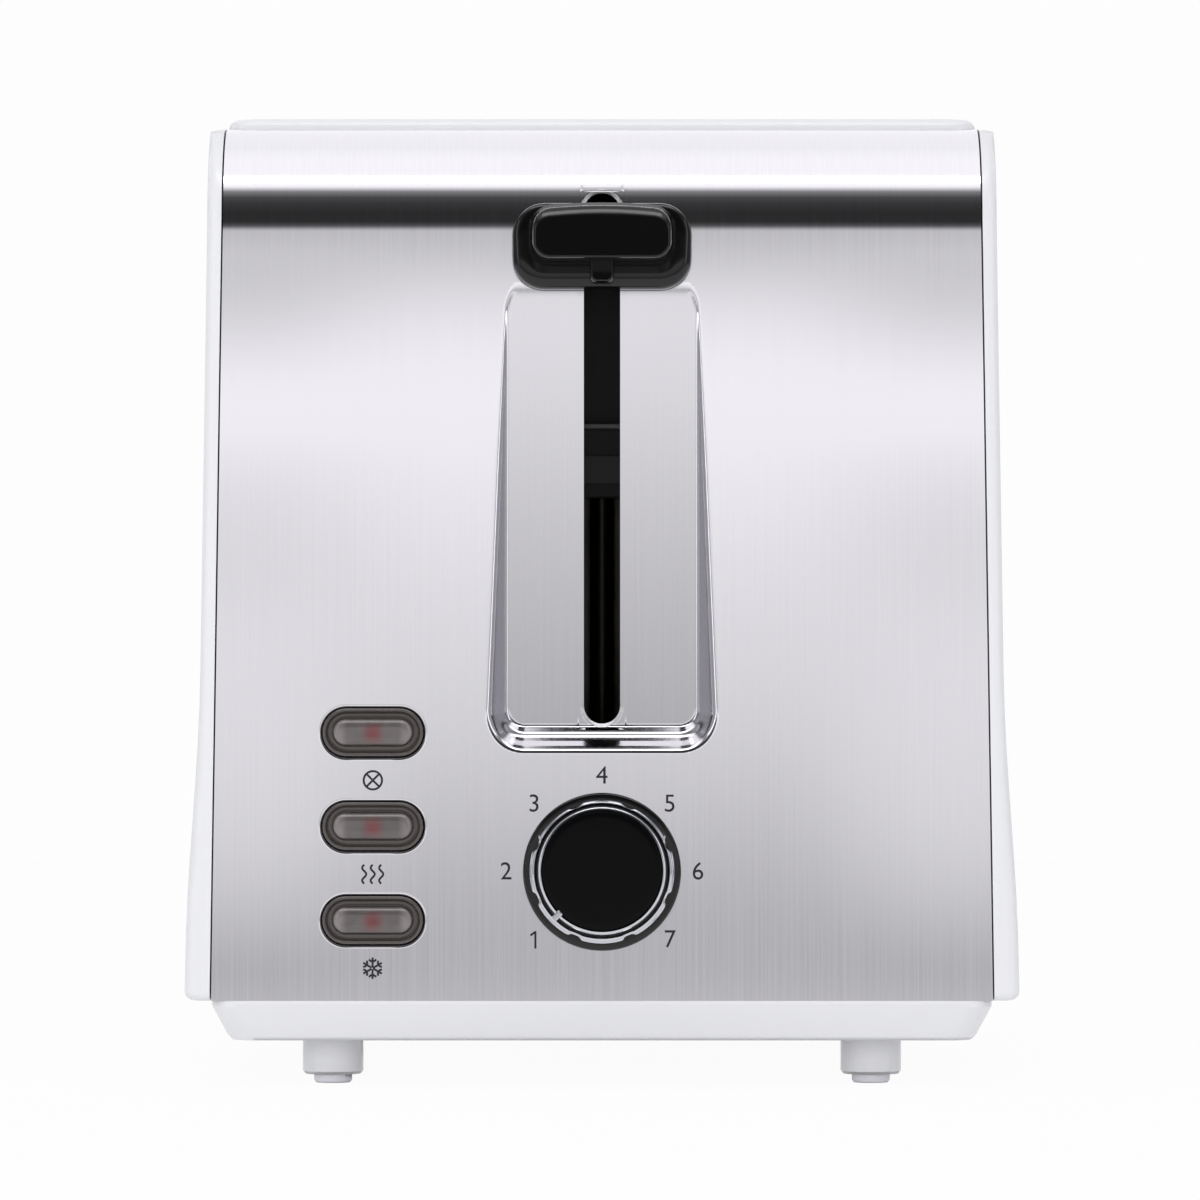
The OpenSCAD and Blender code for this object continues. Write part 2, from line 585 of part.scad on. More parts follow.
// ---- Carriage ----
slider_half = 8;
slider_y = [y_rod - 7, y_rod + 6];
arm_z = knob_z - 6.2;                      // bottom of the lever arm at rest
slot_top_z = arm_z + arm_h + lever_lift + 1.6;
slider_top = arm_z + arm_h;
bracket_t = 1.2;
bracket_y = [slider_y[1], slider_y[1] + bracket_t];
module guide_rod() color("silver") translate([0, y_rod, z_floor]) cylinder(r = rod_r, h = z_plate - z_floor);
module slider_block() color("#303030") difference() {
    box([-slider_half, slider_half], slider_y, [rail_z, slider_top]);
    // Waist that saves material beside the rod
    both_sides() box([slider_half - 3, slider_half + 1], [slider_y[0] - 1, slider_y[1] - 3],
        [rail_z + 12, arm_z - 4]);
    translate([0, y_rod, rail_z - 1]) cylinder(r = rod_r + run_gap, h = slider_top - rail_z + 2);
    box([-arm_t / 2 - fit, arm_t / 2 + fit], [slider_y[0] - 1, slider_y[0] + arm_seat + fit],
        [arm_z - fit, slider_top + 1]);
}
arm_seat = 3.5;
arm_in_knob = 12;
module lever_arm() color("silver") difference() {
    box([-arm_t / 2, arm_t / 2], [y_front + knob_back - arm_in_knob, slider_y[0] + arm_seat],
        [arm_z, slider_top]);
    // Lightening hole
    translate([-arm_t, (y_front + knob_back + slider_y[0]) / 2, arm_z + arm_h / 2]) rotate([0, 90, 0])
        cylinder(r = arm_h / 4, h = 2 * arm_t);
}
shelf = [slider_half + 1.5, slider_half + 15];   // reach of the bracket's two shelves from the middle
keeper_x = 30;
keeper_half = 6;
keeper_h = 3;
module carriage_bracket() color("lightgray") {
    box([-slot_x - 6, slot_x + 6], bracket_y, [rail_z, rail_z + 12]);
    // Shelf for the return spring, and shelf for the latch keeper
    box([spring_x - 5, spring_x + 5], [y_rod - 5, bracket_y[0] + eps], [rail_z, rail_z + bracket_t]);
    box([keeper_x - keeper_half - 1, keeper_x + keeper_half + 1], [y_rod - 6, bracket_y[0] + eps],
        [rail_z, rail_z + bracket_t]);
}
module latch_keeper() color("gray")
    box([keeper_x - keeper_half, keeper_x + keeper_half], [y_rod - 5, y_rod + 5], [rail_z - keeper_h, rail_z]);
cradle_reach = 9;
cradle_rise = 4;
cradle_r = 0.9;
cradle_pitch = 18;
module bread_rack(x) color("gray") translate([x, 0, 0]) {
    box([-rail_t / 2, rail_t / 2], [bracket_y[1], y_oven_end + 4], [rail_z, rail_z + rail_h]);
    count = floor((oven_len - 24) / cradle_pitch) + 1;
    start = y_oven_mid - (count - 1) * cradle_pitch / 2;
    for (k = [0 : count - 1], s = [-1, 1]) translate([0, start + k * cradle_pitch, rail_z + rail_h - 1.5])
        rotate([0, s * atan2(cradle_reach, cradle_rise), 0])
        cylinder(r = cradle_r, h = norm([cradle_reach, cradle_rise]));
}
// Return spring: a round wire swept up a helix
module return_spring() color("silver") {
    z0 = rail_z + bracket_t + 0.15 + spring_wire_r;
    z1 = spring_top - 0.15 - spring_wire_r;
    steps = spring_turns * 12;
    sides = 6;
    rise = (z1 - z0) / (360 * spring_turns);
    tilt = atan(rise * 180 / PI / spring_r);
    rings = [for (i = [0 : steps]) let (a = 360 * spring_turns * i / steps) [for (j = [0 : sides - 1])
        let (b = -360 * j / sides, out = spring_wire_r * cos(b), up = spring_wire_r * sin(b))
        [spring_x + (spring_r + out) * cos(a) + up * sin(tilt) * sin(a),
         y_rod + (spring_r + out) * sin(a) - up * sin(tilt) * cos(a),
         z0 + rise * a + up * cos(tilt)]]];
    loft(rings);
}

// ---- Latch magnet ----
magnet_top = rail_z - keeper_h - lever_travel - 0.3;
magnet_foot = z_chassis + 1;
core_leg_r = 2.6;
module magnet_core() color("gray") {
    box([keeper_x - keeper_half, keeper_x + keeper_half], [y_rod - 5, y_oven], [magnet_foot, magnet_foot + 2]);
    translate([keeper_x, y_rod, magnet_foot + 1]) cylinder(r = core_leg_r, h = magnet_top - magnet_foot - 1);
}
module magnet_coil() color("chocolate") translate([keeper_x, y_rod, magnet_foot + 2]) difference() {
    union() {
        cylinder(r = 5.6, h = 0.8);
        cylinder(r = 5, h = magnet_top - magnet_foot - 2.8);
        translate([0, 0, magnet_top - magnet_foot - 3.4]) cylinder(r = 5.6, h = 0.8);
    }
    translate([0, 0, -1]) cylinder(r = core_leg_r + 0.05, h = 30);
}

// ---- Lever knob ----
// One rounded slice across the knob, at a depth in front of its back
module knob_slice(depth, w, h, r, z = knob_z)
    along_y(y_front + knob_back - depth - 0.01, y_front + knob_back - depth)
        translate([0, z]) rounded(w, h, r, $fn = 24);
ledge_z = knob_z + knob_h / 2 - 0.8 - ledge_h / 2;
rib_w = 4.4;
knob_r = 6.5;
module lever_knob() color("#151515") difference() {
    union() {
        hull() {
            knob_slice(0.01, knob_w - 0.8, knob_h - 0.8, knob_r - 0.4);
            knob_slice(0.5, knob_w, knob_h, knob_r);
            knob_slice(knob_t - 1.6, knob_w, knob_h, knob_r);
            knob_slice(knob_t - 0.5, knob_w - 1.4, knob_h - 1.4, knob_r - 0.7);
            knob_slice(knob_t, knob_w - 3.6, knob_h - 3.6, knob_r - 1.7);
        }
        hull() {
            knob_slice(knob_t - 1, ledge_w + 1.6, ledge_h, 3.6, ledge_z);
            knob_slice(knob_t + ledge_reach - 2, ledge_w, ledge_h - 0.6, 3.2, ledge_z);
            knob_slice(knob_t + ledge_reach - 0.6, ledge_w - 1, ledge_h - 1.6, 2.8, ledge_z);
            knob_slice(knob_t + ledge_reach, ledge_w - 3.2, ledge_h - 3.8, 2, ledge_z);
        }
        // Rib under the ledge
        translate([0, y_front + knob_back, 0]) along_x(rib_w) polygon([
            [-knob_t + 0.5, ledge_z], [-knob_t - 11, ledge_z - ledge_h / 2 + 1],
            [-knob_t - 2.4, knob_z - knob_h / 2 + 1.2], [-knob_t + 0.5, knob_z - knob_h / 2 + 1.2]]);
    }
    box([-arm_t / 2 - fit, arm_t / 2 + fit], [y_front + knob_back - arm_in_knob - fit, y_front + knob_back + 1],
        [arm_z - fit, arm_z + arm_h + fit]);
}

// ---- Controls: drawn in the frame of the front face ----
frame_y = [4, 6];                          // plate of the control frame
board_n = [16, 17.6];                      // the control board
button_cap_gap = 0.2;
button_leg_x = 7;
led_r = 1.5;
board_v = [6, button_v + 2 * button_pitch + 4.4];
board_low_v = dial_v + 20.2;
board_x = [-button_x - 18, 22];
board_step_x = -25;
posts = [[board_x[0] + 3, board_v[0] + 3], [board_x[1] - 3, board_v[0] + 3],
    [board_x[1] - 3, board_low_v - 3], [board_x[0] + 3, board_v[1] - 3]];
module each_button() for (k = [0 : 2]) at_button(k) children();
module at_button(k) translate([-button_x, 0, button_v + k * button_pitch]) children();
module board_outline() polygon([
    [board_x[0], board_v[0]], [board_x[1], board_v[0]], [board_x[1], board_low_v],
    [board_step_x, board_low_v], [board_step_x, board_v[1]], [board_x[0], board_v[1]]]);
module each_post() for (p = posts) translate([p[0], 0, p[1]]) children();
leg_w = 3;
leg_h = 4;
module control_frame() color("#202020") on_face() difference() {
    union() {
        along_y(frame_y[0], frame_y[1]) board_outline();
        each_post() bar(2.6, sheet_t, board_n[0]);
        translate([0, 0, dial_v]) bar(shaft_r + 2, sheet_t + 0.8, frame_y[1]);
    }
    translate([0, 0, dial_v]) bar(shaft_r + run_gap, 0, 8);
    each_post() bar(board_screw_r + 0.05, 8, board_n[0] + 1);
    each_button() {
        bar(led_r + 0.6, 3, 7);
        for (s = [-1, 1]) box([s * button_leg_x - leg_w / 2 - 0.25, s * button_leg_x + leg_w / 2 + 0.25],
            [3, 7], [-leg_h / 2 - 0.25, leg_h / 2 + 0.25]);
    }
}
board_screw_r = 1.2;
module control_board() color("darkgreen") on_face() difference() {
    along_y(board_n[0], board_n[1]) board_outline();
    each_post() bar(board_screw_r + 0.15, board_n[0] - 1, board_n[1] + 1);
}
module board_screws() color("silver") on_face() each_post()
    translate([0, board_n[1] + 1.4, 0]) rotate([90, 0, 0]) screw(board_screw_r, 2.3, 1.4, 8);
pot_half = 8;
module browning_potentiometer() color("#3a3a3a") on_face() translate([0, 0, dial_v]) difference() {
    union() {
        box([-pot_half, pot_half], [9, board_n[0]], [-pot_half, pot_half]);
        bar(shaft_r + 1.6, 7.5, 9 + eps);
    }
    bar(shaft_r + run_gap, 7, 13.2);
}
module button(k) color("#6a5f5a") on_face() at_button(k) {
    face_len = button_len - 2 * button_cap_gap;
    face_h = button_h - 2 * button_cap_gap;
    retainer = sheet_t + fit;
    // Stepped cap: skirt in the panel's hole, then the raised lens
    along_y(-0.7, retainer + eps) stadium(face_len, face_h);
    along_y(-1.2, -0.7 + eps) stadium(face_len - 1.2, face_h - 1.2);
    along_y(-2, -1.2 + eps) stadium(face_len - 4.2, face_h - 4.2);
    along_y(retainer, retainer + 1.2) stadium(face_len + 2.4, face_h + 2.4);
    for (s = [-1, 1]) box([s * button_leg_x - leg_w / 2, s * button_leg_x + leg_w / 2],
        [retainer + 1.2 - eps, 10.8], [-leg_h / 2, leg_h / 2]);
}
switch_h = 3.6;
module switch(k) color("#252525") on_face() at_button(k) translate([button_leg_x, 0, 0]) {
    box([-3, 3], [board_n[0] - switch_h, board_n[0]], [-3, 3]);
    bar(1.7, board_n[0] - switch_h - 0.3, board_n[0] - switch_h + eps);
}
module lamp(k) color("red") on_face() at_button(k) {
    bar(led_r, 5.4, 8.5);
    translate([0, 5.4, 0]) sphere(led_r);
    bar(led_r + 0.4, 8.5 - eps, 9.5);
    for (s = [-1, 1]) box([s * 0.65 - 0.25, s * 0.65 + 0.25], [9.5 - eps, board_n[0]], [-0.25, 0.25]);
}

// ---- Dial: drawn round its own axis, with the shaft along Y ----
dial_gap = 0.6;                            // from the panel to the dial's skirt
skirt_h = 2.4;
ring_r = dial_r - 0.9;
cap_r = dial_r - 3.6;
ring_n = [-dial_h, -dial_gap - skirt_h];
module on_dial() on_face() translate([0, 0, dial_v]) rotate([0, -pointer_angle, 0]) children();
module dial_shaft() color("silver") on_dial() bar(shaft_r, ring_n[0] + 3, 13);
module dial_knob() color("#151515") on_dial() difference() {
    union() {
        bar(dial_r - 0.3, -dial_gap - 0.4, -dial_gap);
        bar(dial_r, -dial_gap - skirt_h + 0.3, -dial_gap - 0.4 + eps);
        bar(dial_r - 0.3, -dial_gap - skirt_h, -dial_gap - skirt_h + 0.3 + eps);
        bar(cap_r - 0.3, ring_n[0] + 1, ring_n[1] + eps);
    }
    bar(shaft_r + 0.05, ring_n[0] + 2.9, 1);
}
module ring_section() polygon([
    [cap_r - 0.25, ring_n[1]], [ring_r, ring_n[1]], [ring_r, ring_n[0] + 1.4], [ring_r - 0.35, ring_n[0] + 0.5],
    [ring_r - 0.9, ring_n[0]], [ring_r - 1.4, ring_n[0] + 0.4], [ring_r - 1.7, ring_n[0] + 0.9],
    [cap_r + 0.7, ring_n[0] + 0.9], [cap_r + 0.45, ring_n[0] + 0.35], [cap_r + 0.05, ring_n[0] + 0.35],
    [cap_r + 0.05, ring_n[0] + 1.05], [cap_r - 0.25, ring_n[0] + 1.05]]);
module dial_ring() color("lightgray") on_dial() {
    difference() {
        rotate([-90, 0, 0]) rotate_extrude() ring_section();
        for (k = [0 : scallops - 1]) rotate([0, (k + 0.5) * 360 / scallops, 0])
            translate([0, 0, ring_r + 4 - scallop_depth]) bar(4, ring_n[0] - 1, ring_n[1] - 1);
    }
    // Pointer that bridges the groove
    box([-0.6, 0.6], [ring_n[0] + 0.15, ring_n[0] + 1], [cap_r + 0.3, ring_r - 1]);
}
module dial_cap() color("#101010") on_dial() {
    bar(cap_r, ring_n[0] + 0.5, ring_n[0] + 1);
    bar(cap_r - 0.6, ring_n[0] + 0.25, ring_n[0] + 0.5 + eps);
}

front_panel();
rear_panel();
mirror([1, 0, 0]) side_shell();  // side_shell_left
side_shell();  // side_shell_right
top_cover();
base();
foot_pad(-1, -1);  // foot_pad_front_left
foot_pad(1, -1);  // foot_pad_front_right
foot_pad(-1, 1);  // foot_pad_rear_left
foot_pad(1, 1);  // foot_pad_rear_right
base_screws();
cord_gland();
crumb_tray();
crumb_tray_handle();
end_plate_front();
end_plate_rear();
oven_top_plate();
mirror([1, 0, 0]) reflector();  // reflector_left
reflector();  // reflector_right
heater_board(-heater_x);  // heater_board_left
heater_board(0);  // heater_board_centre
heater_board(heater_x);  // heater_board_right
heater_winding(-heater_x);  // heater_winding_left
heater_winding(0);  // heater_winding_centre
heater_winding(heater_x);  // heater_winding_right
guard(-guard_outer_x);  // guard_left_outer
guard(-guard_inner_x);  // guard_left_inner
guard(guard_inner_x);  // guard_right_inner
guard(guard_outer_x);  // guard_right_outer
guide_rod();
slider_block();
carriage_bracket();
bread_rack(-slot_x);  // bread_rack_left
bread_rack(slot_x);  // bread_rack_right
lever_arm();
lever_knob();
latch_keeper();
return_spring();
magnet_core();
magnet_coil();
control_frame();
control_board();
board_screws();
browning_potentiometer();
dial_shaft();
dial_knob();
dial_ring();
dial_cap();
button(2);  // cancel_button
button(1);  // reheat_button
button(0);  // defrost_button
lamp(2);  // cancel_lamp
lamp(1);  // reheat_lamp
lamp(0);  // defrost_lamp
switch(2);  // cancel_switch
switch(1);  // reheat_switch
switch(0);  // defrost_switch
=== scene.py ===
# %% [markdown]
# # A pop up toaster for two slices
# The construction is already there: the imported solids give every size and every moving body.
# This script only gives them their looks. Each cell first says what a piece or a finish is on
# the real toaster and how it could be made, and then makes it.

# %% Load the frame
import json
import math

import bmesh
import bpy
from mathutils import Matrix, Vector


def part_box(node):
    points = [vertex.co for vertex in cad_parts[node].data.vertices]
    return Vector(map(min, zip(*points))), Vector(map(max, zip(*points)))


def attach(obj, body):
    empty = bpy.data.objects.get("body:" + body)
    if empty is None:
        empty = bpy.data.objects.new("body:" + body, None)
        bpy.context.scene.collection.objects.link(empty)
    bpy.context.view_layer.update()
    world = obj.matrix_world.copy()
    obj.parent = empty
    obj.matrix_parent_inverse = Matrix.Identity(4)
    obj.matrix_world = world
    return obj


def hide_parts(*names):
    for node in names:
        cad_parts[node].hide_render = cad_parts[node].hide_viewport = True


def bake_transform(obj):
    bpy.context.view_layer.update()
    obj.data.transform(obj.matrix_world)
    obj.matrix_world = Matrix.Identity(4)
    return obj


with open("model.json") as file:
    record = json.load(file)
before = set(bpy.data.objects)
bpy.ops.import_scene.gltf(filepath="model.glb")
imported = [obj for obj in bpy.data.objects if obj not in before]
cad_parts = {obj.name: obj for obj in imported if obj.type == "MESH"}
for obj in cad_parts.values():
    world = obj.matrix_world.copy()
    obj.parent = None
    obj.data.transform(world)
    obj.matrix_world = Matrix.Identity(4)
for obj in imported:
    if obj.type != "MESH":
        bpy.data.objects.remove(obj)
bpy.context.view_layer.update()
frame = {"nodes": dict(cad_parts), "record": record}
nodes = frame["nodes"]
MM = 0.001

# %% [markdown]
# ## Places taken from the solids
# The control panel leans back by three degrees and then bends over into the top. Everything on
# it, such as the keys and the numbers, is placed in the panel's own plane, so one matrix that
# leads from that plane to the toaster saves a lot of trigonometry later.

# %% Sizes and places
FACE_SLOPE = math.radians(3)
SHEET = 0.8 * MM
BEND_RADIUS = 21 * MM
panel_low, panel_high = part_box("front_panel")
rear_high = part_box("rear_panel")[1]
panel_half = panel_high.x
y_front = panel_low.y
y_middle = (panel_low.y + rear_high.y) / 2
z_foot, z_shoulder = panel_low.z, panel_high.z
z_bend = z_shoulder - BEND_RADIUS
FACE = Matrix.Translation((0, y_front, z_foot)) @ Matrix.Rotation(-FACE_SLOPE, 4, "X")
INTO = FACE.to_3x3() @ Vector((0, 1, 0))


def middle(node):
    """The middle of a solid's box."""
    low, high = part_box(node)
    return (low + high) / 2


def on_face(point):
    """Where a point of the toaster lies in the panel's plane: across, into the body, up."""
    return FACE.inverted() @ point


print("face foot at", tuple(round(v, 4) for v in FACE.translation))

# %% [markdown]
# ## A way to finish a mesh
# A mesh built with bmesh operators becomes a piece in a few steps: write it to a mesh, let light
# flow over its soft edges while its crisp ones stay crisp, give it a material, and let it ride
# on the body that carries it. Weighted normals keep wide flat faces flat beside their bevels.


# %% Helpers for pieces
def in_scene(name, data):
    """An object with its data, linked to the scene."""
    made = bpy.data.objects.new(name, data)
    bpy.context.scene.collection.objects.link(made)
    return made


def add_piece(name, bm, slot=None, body="housing", crisp=35, material=None):
    """Turn a bmesh into a finished piece that rides on a body, or on none."""
    mesh = bpy.data.meshes.new(name)
    bm.to_mesh(mesh)
    bm.free()
    mesh.materials.append(material or finish[slot])
    mesh.shade_smooth()
    mesh.set_sharp_from_angle(angle=math.radians(crisp))
    piece = in_scene(name, mesh)
    if body:
        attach(piece, body)
    return piece


def weigh_normals(piece):
    """Let wide faces decide the shading of their corners."""
    weighted = piece.modifiers.new("weighted_normals", "WEIGHTED_NORMAL")
    weighted.keep_sharp = True
    weighted.weight = 80


def dress(name, bm, slot, body, crisp=50, material=None):
    """Add a moulded or turned piece with evened shading."""
    piece = add_piece(name, bm, slot, body, crisp, material)
    weigh_normals(piece)
    return piece


print("pieces can be made with: add_piece, dress")

# %% [markdown]
# ## Building shaders in few words
# A shader is a net of nodes, and making each node and each link by hand takes many lines. So one
# helper makes a node, sets its options, and gives each input either a value or another node's
# output. The few nets that come back often, such as a mix or a product, get a name of their own.


# %% Shader nodes
def set_inputs(tree, node, inputs):
    """Give each input of a node a value, or feed it from another node's output."""
    for label, value in inputs.items():
        if isinstance(value, bpy.types.NodeSocket):
            tree.links.new(value, node.inputs[label])
        else:
            node.inputs[label].default_value = value


def add_node(tree, kind, inputs=None, **options):
    """A shader node with its options and its inputs set."""
    node = tree.nodes.new("ShaderNode" + kind)
    for option, value in options.items():
        setattr(node, option, value)
    set_inputs(tree, node, inputs or {})
    return node


def maths(tree, operation, *values):
    """The result of one sum."""
    return add_node(tree, "Math", dict(enumerate(values)), operation=operation).outputs[0]


def product(tree, first, *others):
    """The product of several values."""
    for other in others:
        first = maths(tree, "MULTIPLY", first, other)
    return first


def mixed(tree, factor, first, second):
    """Two colours mixed: the first where the factor is nothing, the second where it is one."""
    return add_node(tree, "Mix", {0: factor, 6: first, 7: second}, data_type="RGBA").outputs[2]


def scaled(tree, color, factor):
    """A colour made darker or lighter."""
    return add_node(tree, "VectorMath", {0: color, "Scale": factor}, operation="SCALE").outputs[0]


def soft_range(tree, value, near, far, inside, outside):
    """A value that goes softly from inside to outside as another goes from near to far."""
    ends = {"Value": value, "From Min": near, "From Max": far, "To Min": inside, "To Max": outside}
    return add_node(tree, "MapRange", ends, interpolation_type="SMOOTHSTEP").outputs["Result"]


def relief(tree, height, strength, distance):
    """The normals of a surface with a fine relief."""
    inputs = {"Height": height, "Strength": strength, "Distance": distance}
    return add_node(tree, "Bump", inputs).outputs["Normal"]


def new_group(name, inputs, outputs):
    """A node group with named inputs and outputs, each of the kind that its value has."""
    group = bpy.data.node_groups.new(name, "ShaderNodeTree")
    for label, value in inputs.items():
        kind = {3: "Vector", 4: "Color"}[len(value)] if isinstance(value, tuple) else "Float"
        socket = group.interface.new_socket(label, in_out="INPUT", socket_type="NodeSocket" + kind)
        socket.default_value = value
    for label, kind in outputs.items():
        group.interface.new_socket(label, in_out="OUTPUT", socket_type="NodeSocket" + kind)
    return group, group.nodes.new("NodeGroupInput").outputs, group.nodes.new("NodeGroupOutput")


SURFACE_OUTPUTS = {"Color": "Color", "Roughness": "Float", "Normal": "Vector"}
print("shader helpers: add_node, maths, product, mixed, scaled, soft_range, relief")

# %% [markdown]
# ## Shared shader groups
# Three effects come back in many finishes. Brushed grain is a fine streak along one direction.
# Mould skin is the faint unevenness that keeps a plastic wall from looking like glass. The lamp
# glow is the smoked lens of a key with the red of its lamp and painted highlights at its ends.
# Each is a group with named inputs.


# %% Shader groups
def make_brushed_grain():
    """Fine streaks: stretch sets how dense they are along each axis."""
    inputs = {"Stretch": (2600, 300, 30), "Depth": 0.1, "Low Roughness": 0.2, "High Roughness": 0.3,
              "Dark": (0.7, 0.7, 0.7, 1), "Light": (0.8, 0.8, 0.8, 1)}
    group, given, out = new_group("brushed_grain", inputs, SURFACE_OUTPUTS)
    place = add_node(group, "TexCoord").outputs["Object"]
    stretched = add_node(group, "VectorMath", {0: place, 1: given["Stretch"]}, operation="MULTIPLY")
    noise = {"Vector": stretched.outputs[0], "Scale": 1, "Detail": 3, "Roughness": 0.6}
    streaks = add_node(group, "TexNoise", noise).outputs["Fac"]
    rough = add_node(group, "MapRange", {
        "Value": streaks, "From Min": 0.3, "From Max": 0.7,
        "To Min": given["Low Roughness"], "To Max": given["High Roughness"]})
    set_inputs(group, out, {"Color": mixed(group, streaks, given["Dark"], given["Light"]),
                            "Roughness": rough.outputs["Result"],
                            "Normal": relief(group, streaks, given["Depth"], 0.02 * MM)})
    return group


def make_mould_skin():
    """A soft unevenness with a gloss that wanders a little."""
    inputs = {"Color": (0.8, 0.8, 0.8, 1), "Variation": 0.03, "Scale": 60, "Roughness": 0.25,
              "Wander": 0.05, "Depth": 0.1}
    group, given, out = new_group("mould_skin", inputs, SURFACE_OUTPUTS)
    place = add_node(group, "TexCoord").outputs["Object"]
    noise = {"Vector": place, "Scale": given["Scale"], "Detail": 4}
    wave = add_node(group, "TexNoise", noise).outputs["Fac"]
    centred = maths(group, "SUBTRACT", wave, 0.5)
    shade = maths(group, "MULTIPLY_ADD", centred, given["Variation"], 1)
    gloss = maths(group, "MULTIPLY_ADD", centred, given["Wander"], given["Roughness"])
    set_inputs(group, out, {"Color": scaled(group, given["Color"], shade), "Roughness": gloss,
                            "Normal": relief(group, wave, given["Depth"], 0.05 * MM)})
    return group


def make_lamp_glow():
    """A smoked grey with painted highlights at its two ends, and a soft red square where a lamp shines
    through.
    """
    inputs = {"Centre": (0, 0, 0), "Grey": (0.108, 0.094, 0.092, 1), "Red": (0.135, 0.028, 0.031, 1)}
    outputs = {"Color": "Color", "Glow": "Color", "Normal": "Vector"}
    group, given, out = new_group("lamp_glow", inputs, outputs)
    place = add_node(group, "TexCoord").outputs["Object"]
    offset = add_node(group, "VectorMath", {0: place, 1: given["Centre"]}, operation="SUBTRACT")
    split = add_node(group, "SeparateXYZ", {0: offset.outputs[0]}).outputs
    aside, above = (maths(group, "ABSOLUTE", split[axis]) for axis in "XZ")
    lamp = product(group, *(soft_range(group, away, 0.3 * MM, 2.9 * MM, 1, 0) for away in (aside, above)))
    smoke = add_node(group, "TexNoise", {"Vector": place, "Scale": 350}).outputs["Fac"]
    cloud = add_node(group, "MapRange", {"Value": smoke, "To Min": 0.7, "To Max": 1.3}).outputs["Result"]
    # Painted highlights: the lens colour grows paler towards its two ends.
    painted_end_glints = soft_range(group, aside, 4.8 * MM, 6.8 * MM, 1, 1.9)
    tone = mixed(group, lamp, given["Grey"], given["Red"])
    set_inputs(group, out, {"Color": scaled(group, tone, product(group, cloud, painted_end_glints)),
                            "Glow": scaled(group, given["Red"], lamp),
                            "Normal": relief(group, smoke, 0.15, 0.05 * MM)})
    return group


brushed_grain, mould_skin, lamp_glow = make_brushed_grain(), make_mould_skin(), make_lamp_glow()
print("shader groups:", ", ".join(group.name for group in bpy.data.node_groups))

# %% [markdown]
# ## The finishes
# Every material keeps its own Principled shader and takes colour, roughness and normal from one
# of the groups. What is the same all over, such as metalness or coat, is set on the shader.


# %% Material helpers
SURFACE = {"Base Color": "Color", "Roughness": "Roughness", "Normal": "Normal"}


def new_material(name, group, given, fed=SURFACE, **sockets):
    """A material whose shader takes what is fed from a group and keeps its other sockets fixed."""
    material = bpy.data.materials.new(name)
    material.use_nodes = True
    tree = material.node_tree
    source = add_node(tree, "Group", given, node_tree=group).outputs
    inputs = {label.replace("_", " "): value for label, value in sockets.items()}
    inputs.update({label: source[output] for label, output in fed.items()})
    set_inputs(tree, tree.nodes["Principled BSDF"], inputs)
    return material


def plastic(name, color, roughness, variation=0.03, scale=60, wander=0.06, depth=0.1, **sockets):
    """A moulded material with a faint unevenness."""
    given = {"Color": (*color, 1), "Roughness": roughness, "Variation": variation, "Scale": scale,
             "Wander": wander, "Depth": depth}
    return new_material(name, mould_skin, given, **sockets)


def metal(name, dark, light, low, high, stretch, depth=0.1, **sockets):
    """A metal with a grain between two tones and two gloss values."""
    given = {"Dark": (*dark, 1), "Light": (*light, 1), "Low Roughness": low, "High Roughness": high,
             "Stretch": stretch, "Depth": depth}
    return new_material(name, brushed_grain, given, Metallic=1.0, **sockets)


print("materials can be made with: plastic, metal")

# %% [markdown]
# ### Brushed steel
# The steel ends are brushed up and down. Such a surface keeps a reflection sharp along the
# brushing and smears it across, which the shader calls anisotropy. The tangent runs up the sheet
# and over its bend, and a quarter turn points the smear sideways.

# %% Brushed steel
steel = metal("brushed_steel", (0.765, 0.75, 0.795), (0.835, 0.82, 0.865), 0.07, 0.11,
              (3800, 200, 14), depth=0.05, Anisotropic=0.95, Anisotropic_Rotation=0.25)
along_sheet = add_node(steel.node_tree, "Tangent", direction_type="RADIAL", axis="X").outputs["Tangent"]
set_inputs(steel.node_tree, steel.node_tree.nodes["Principled BSDF"], {"Tangent": along_sheet})
print("made", steel.name)
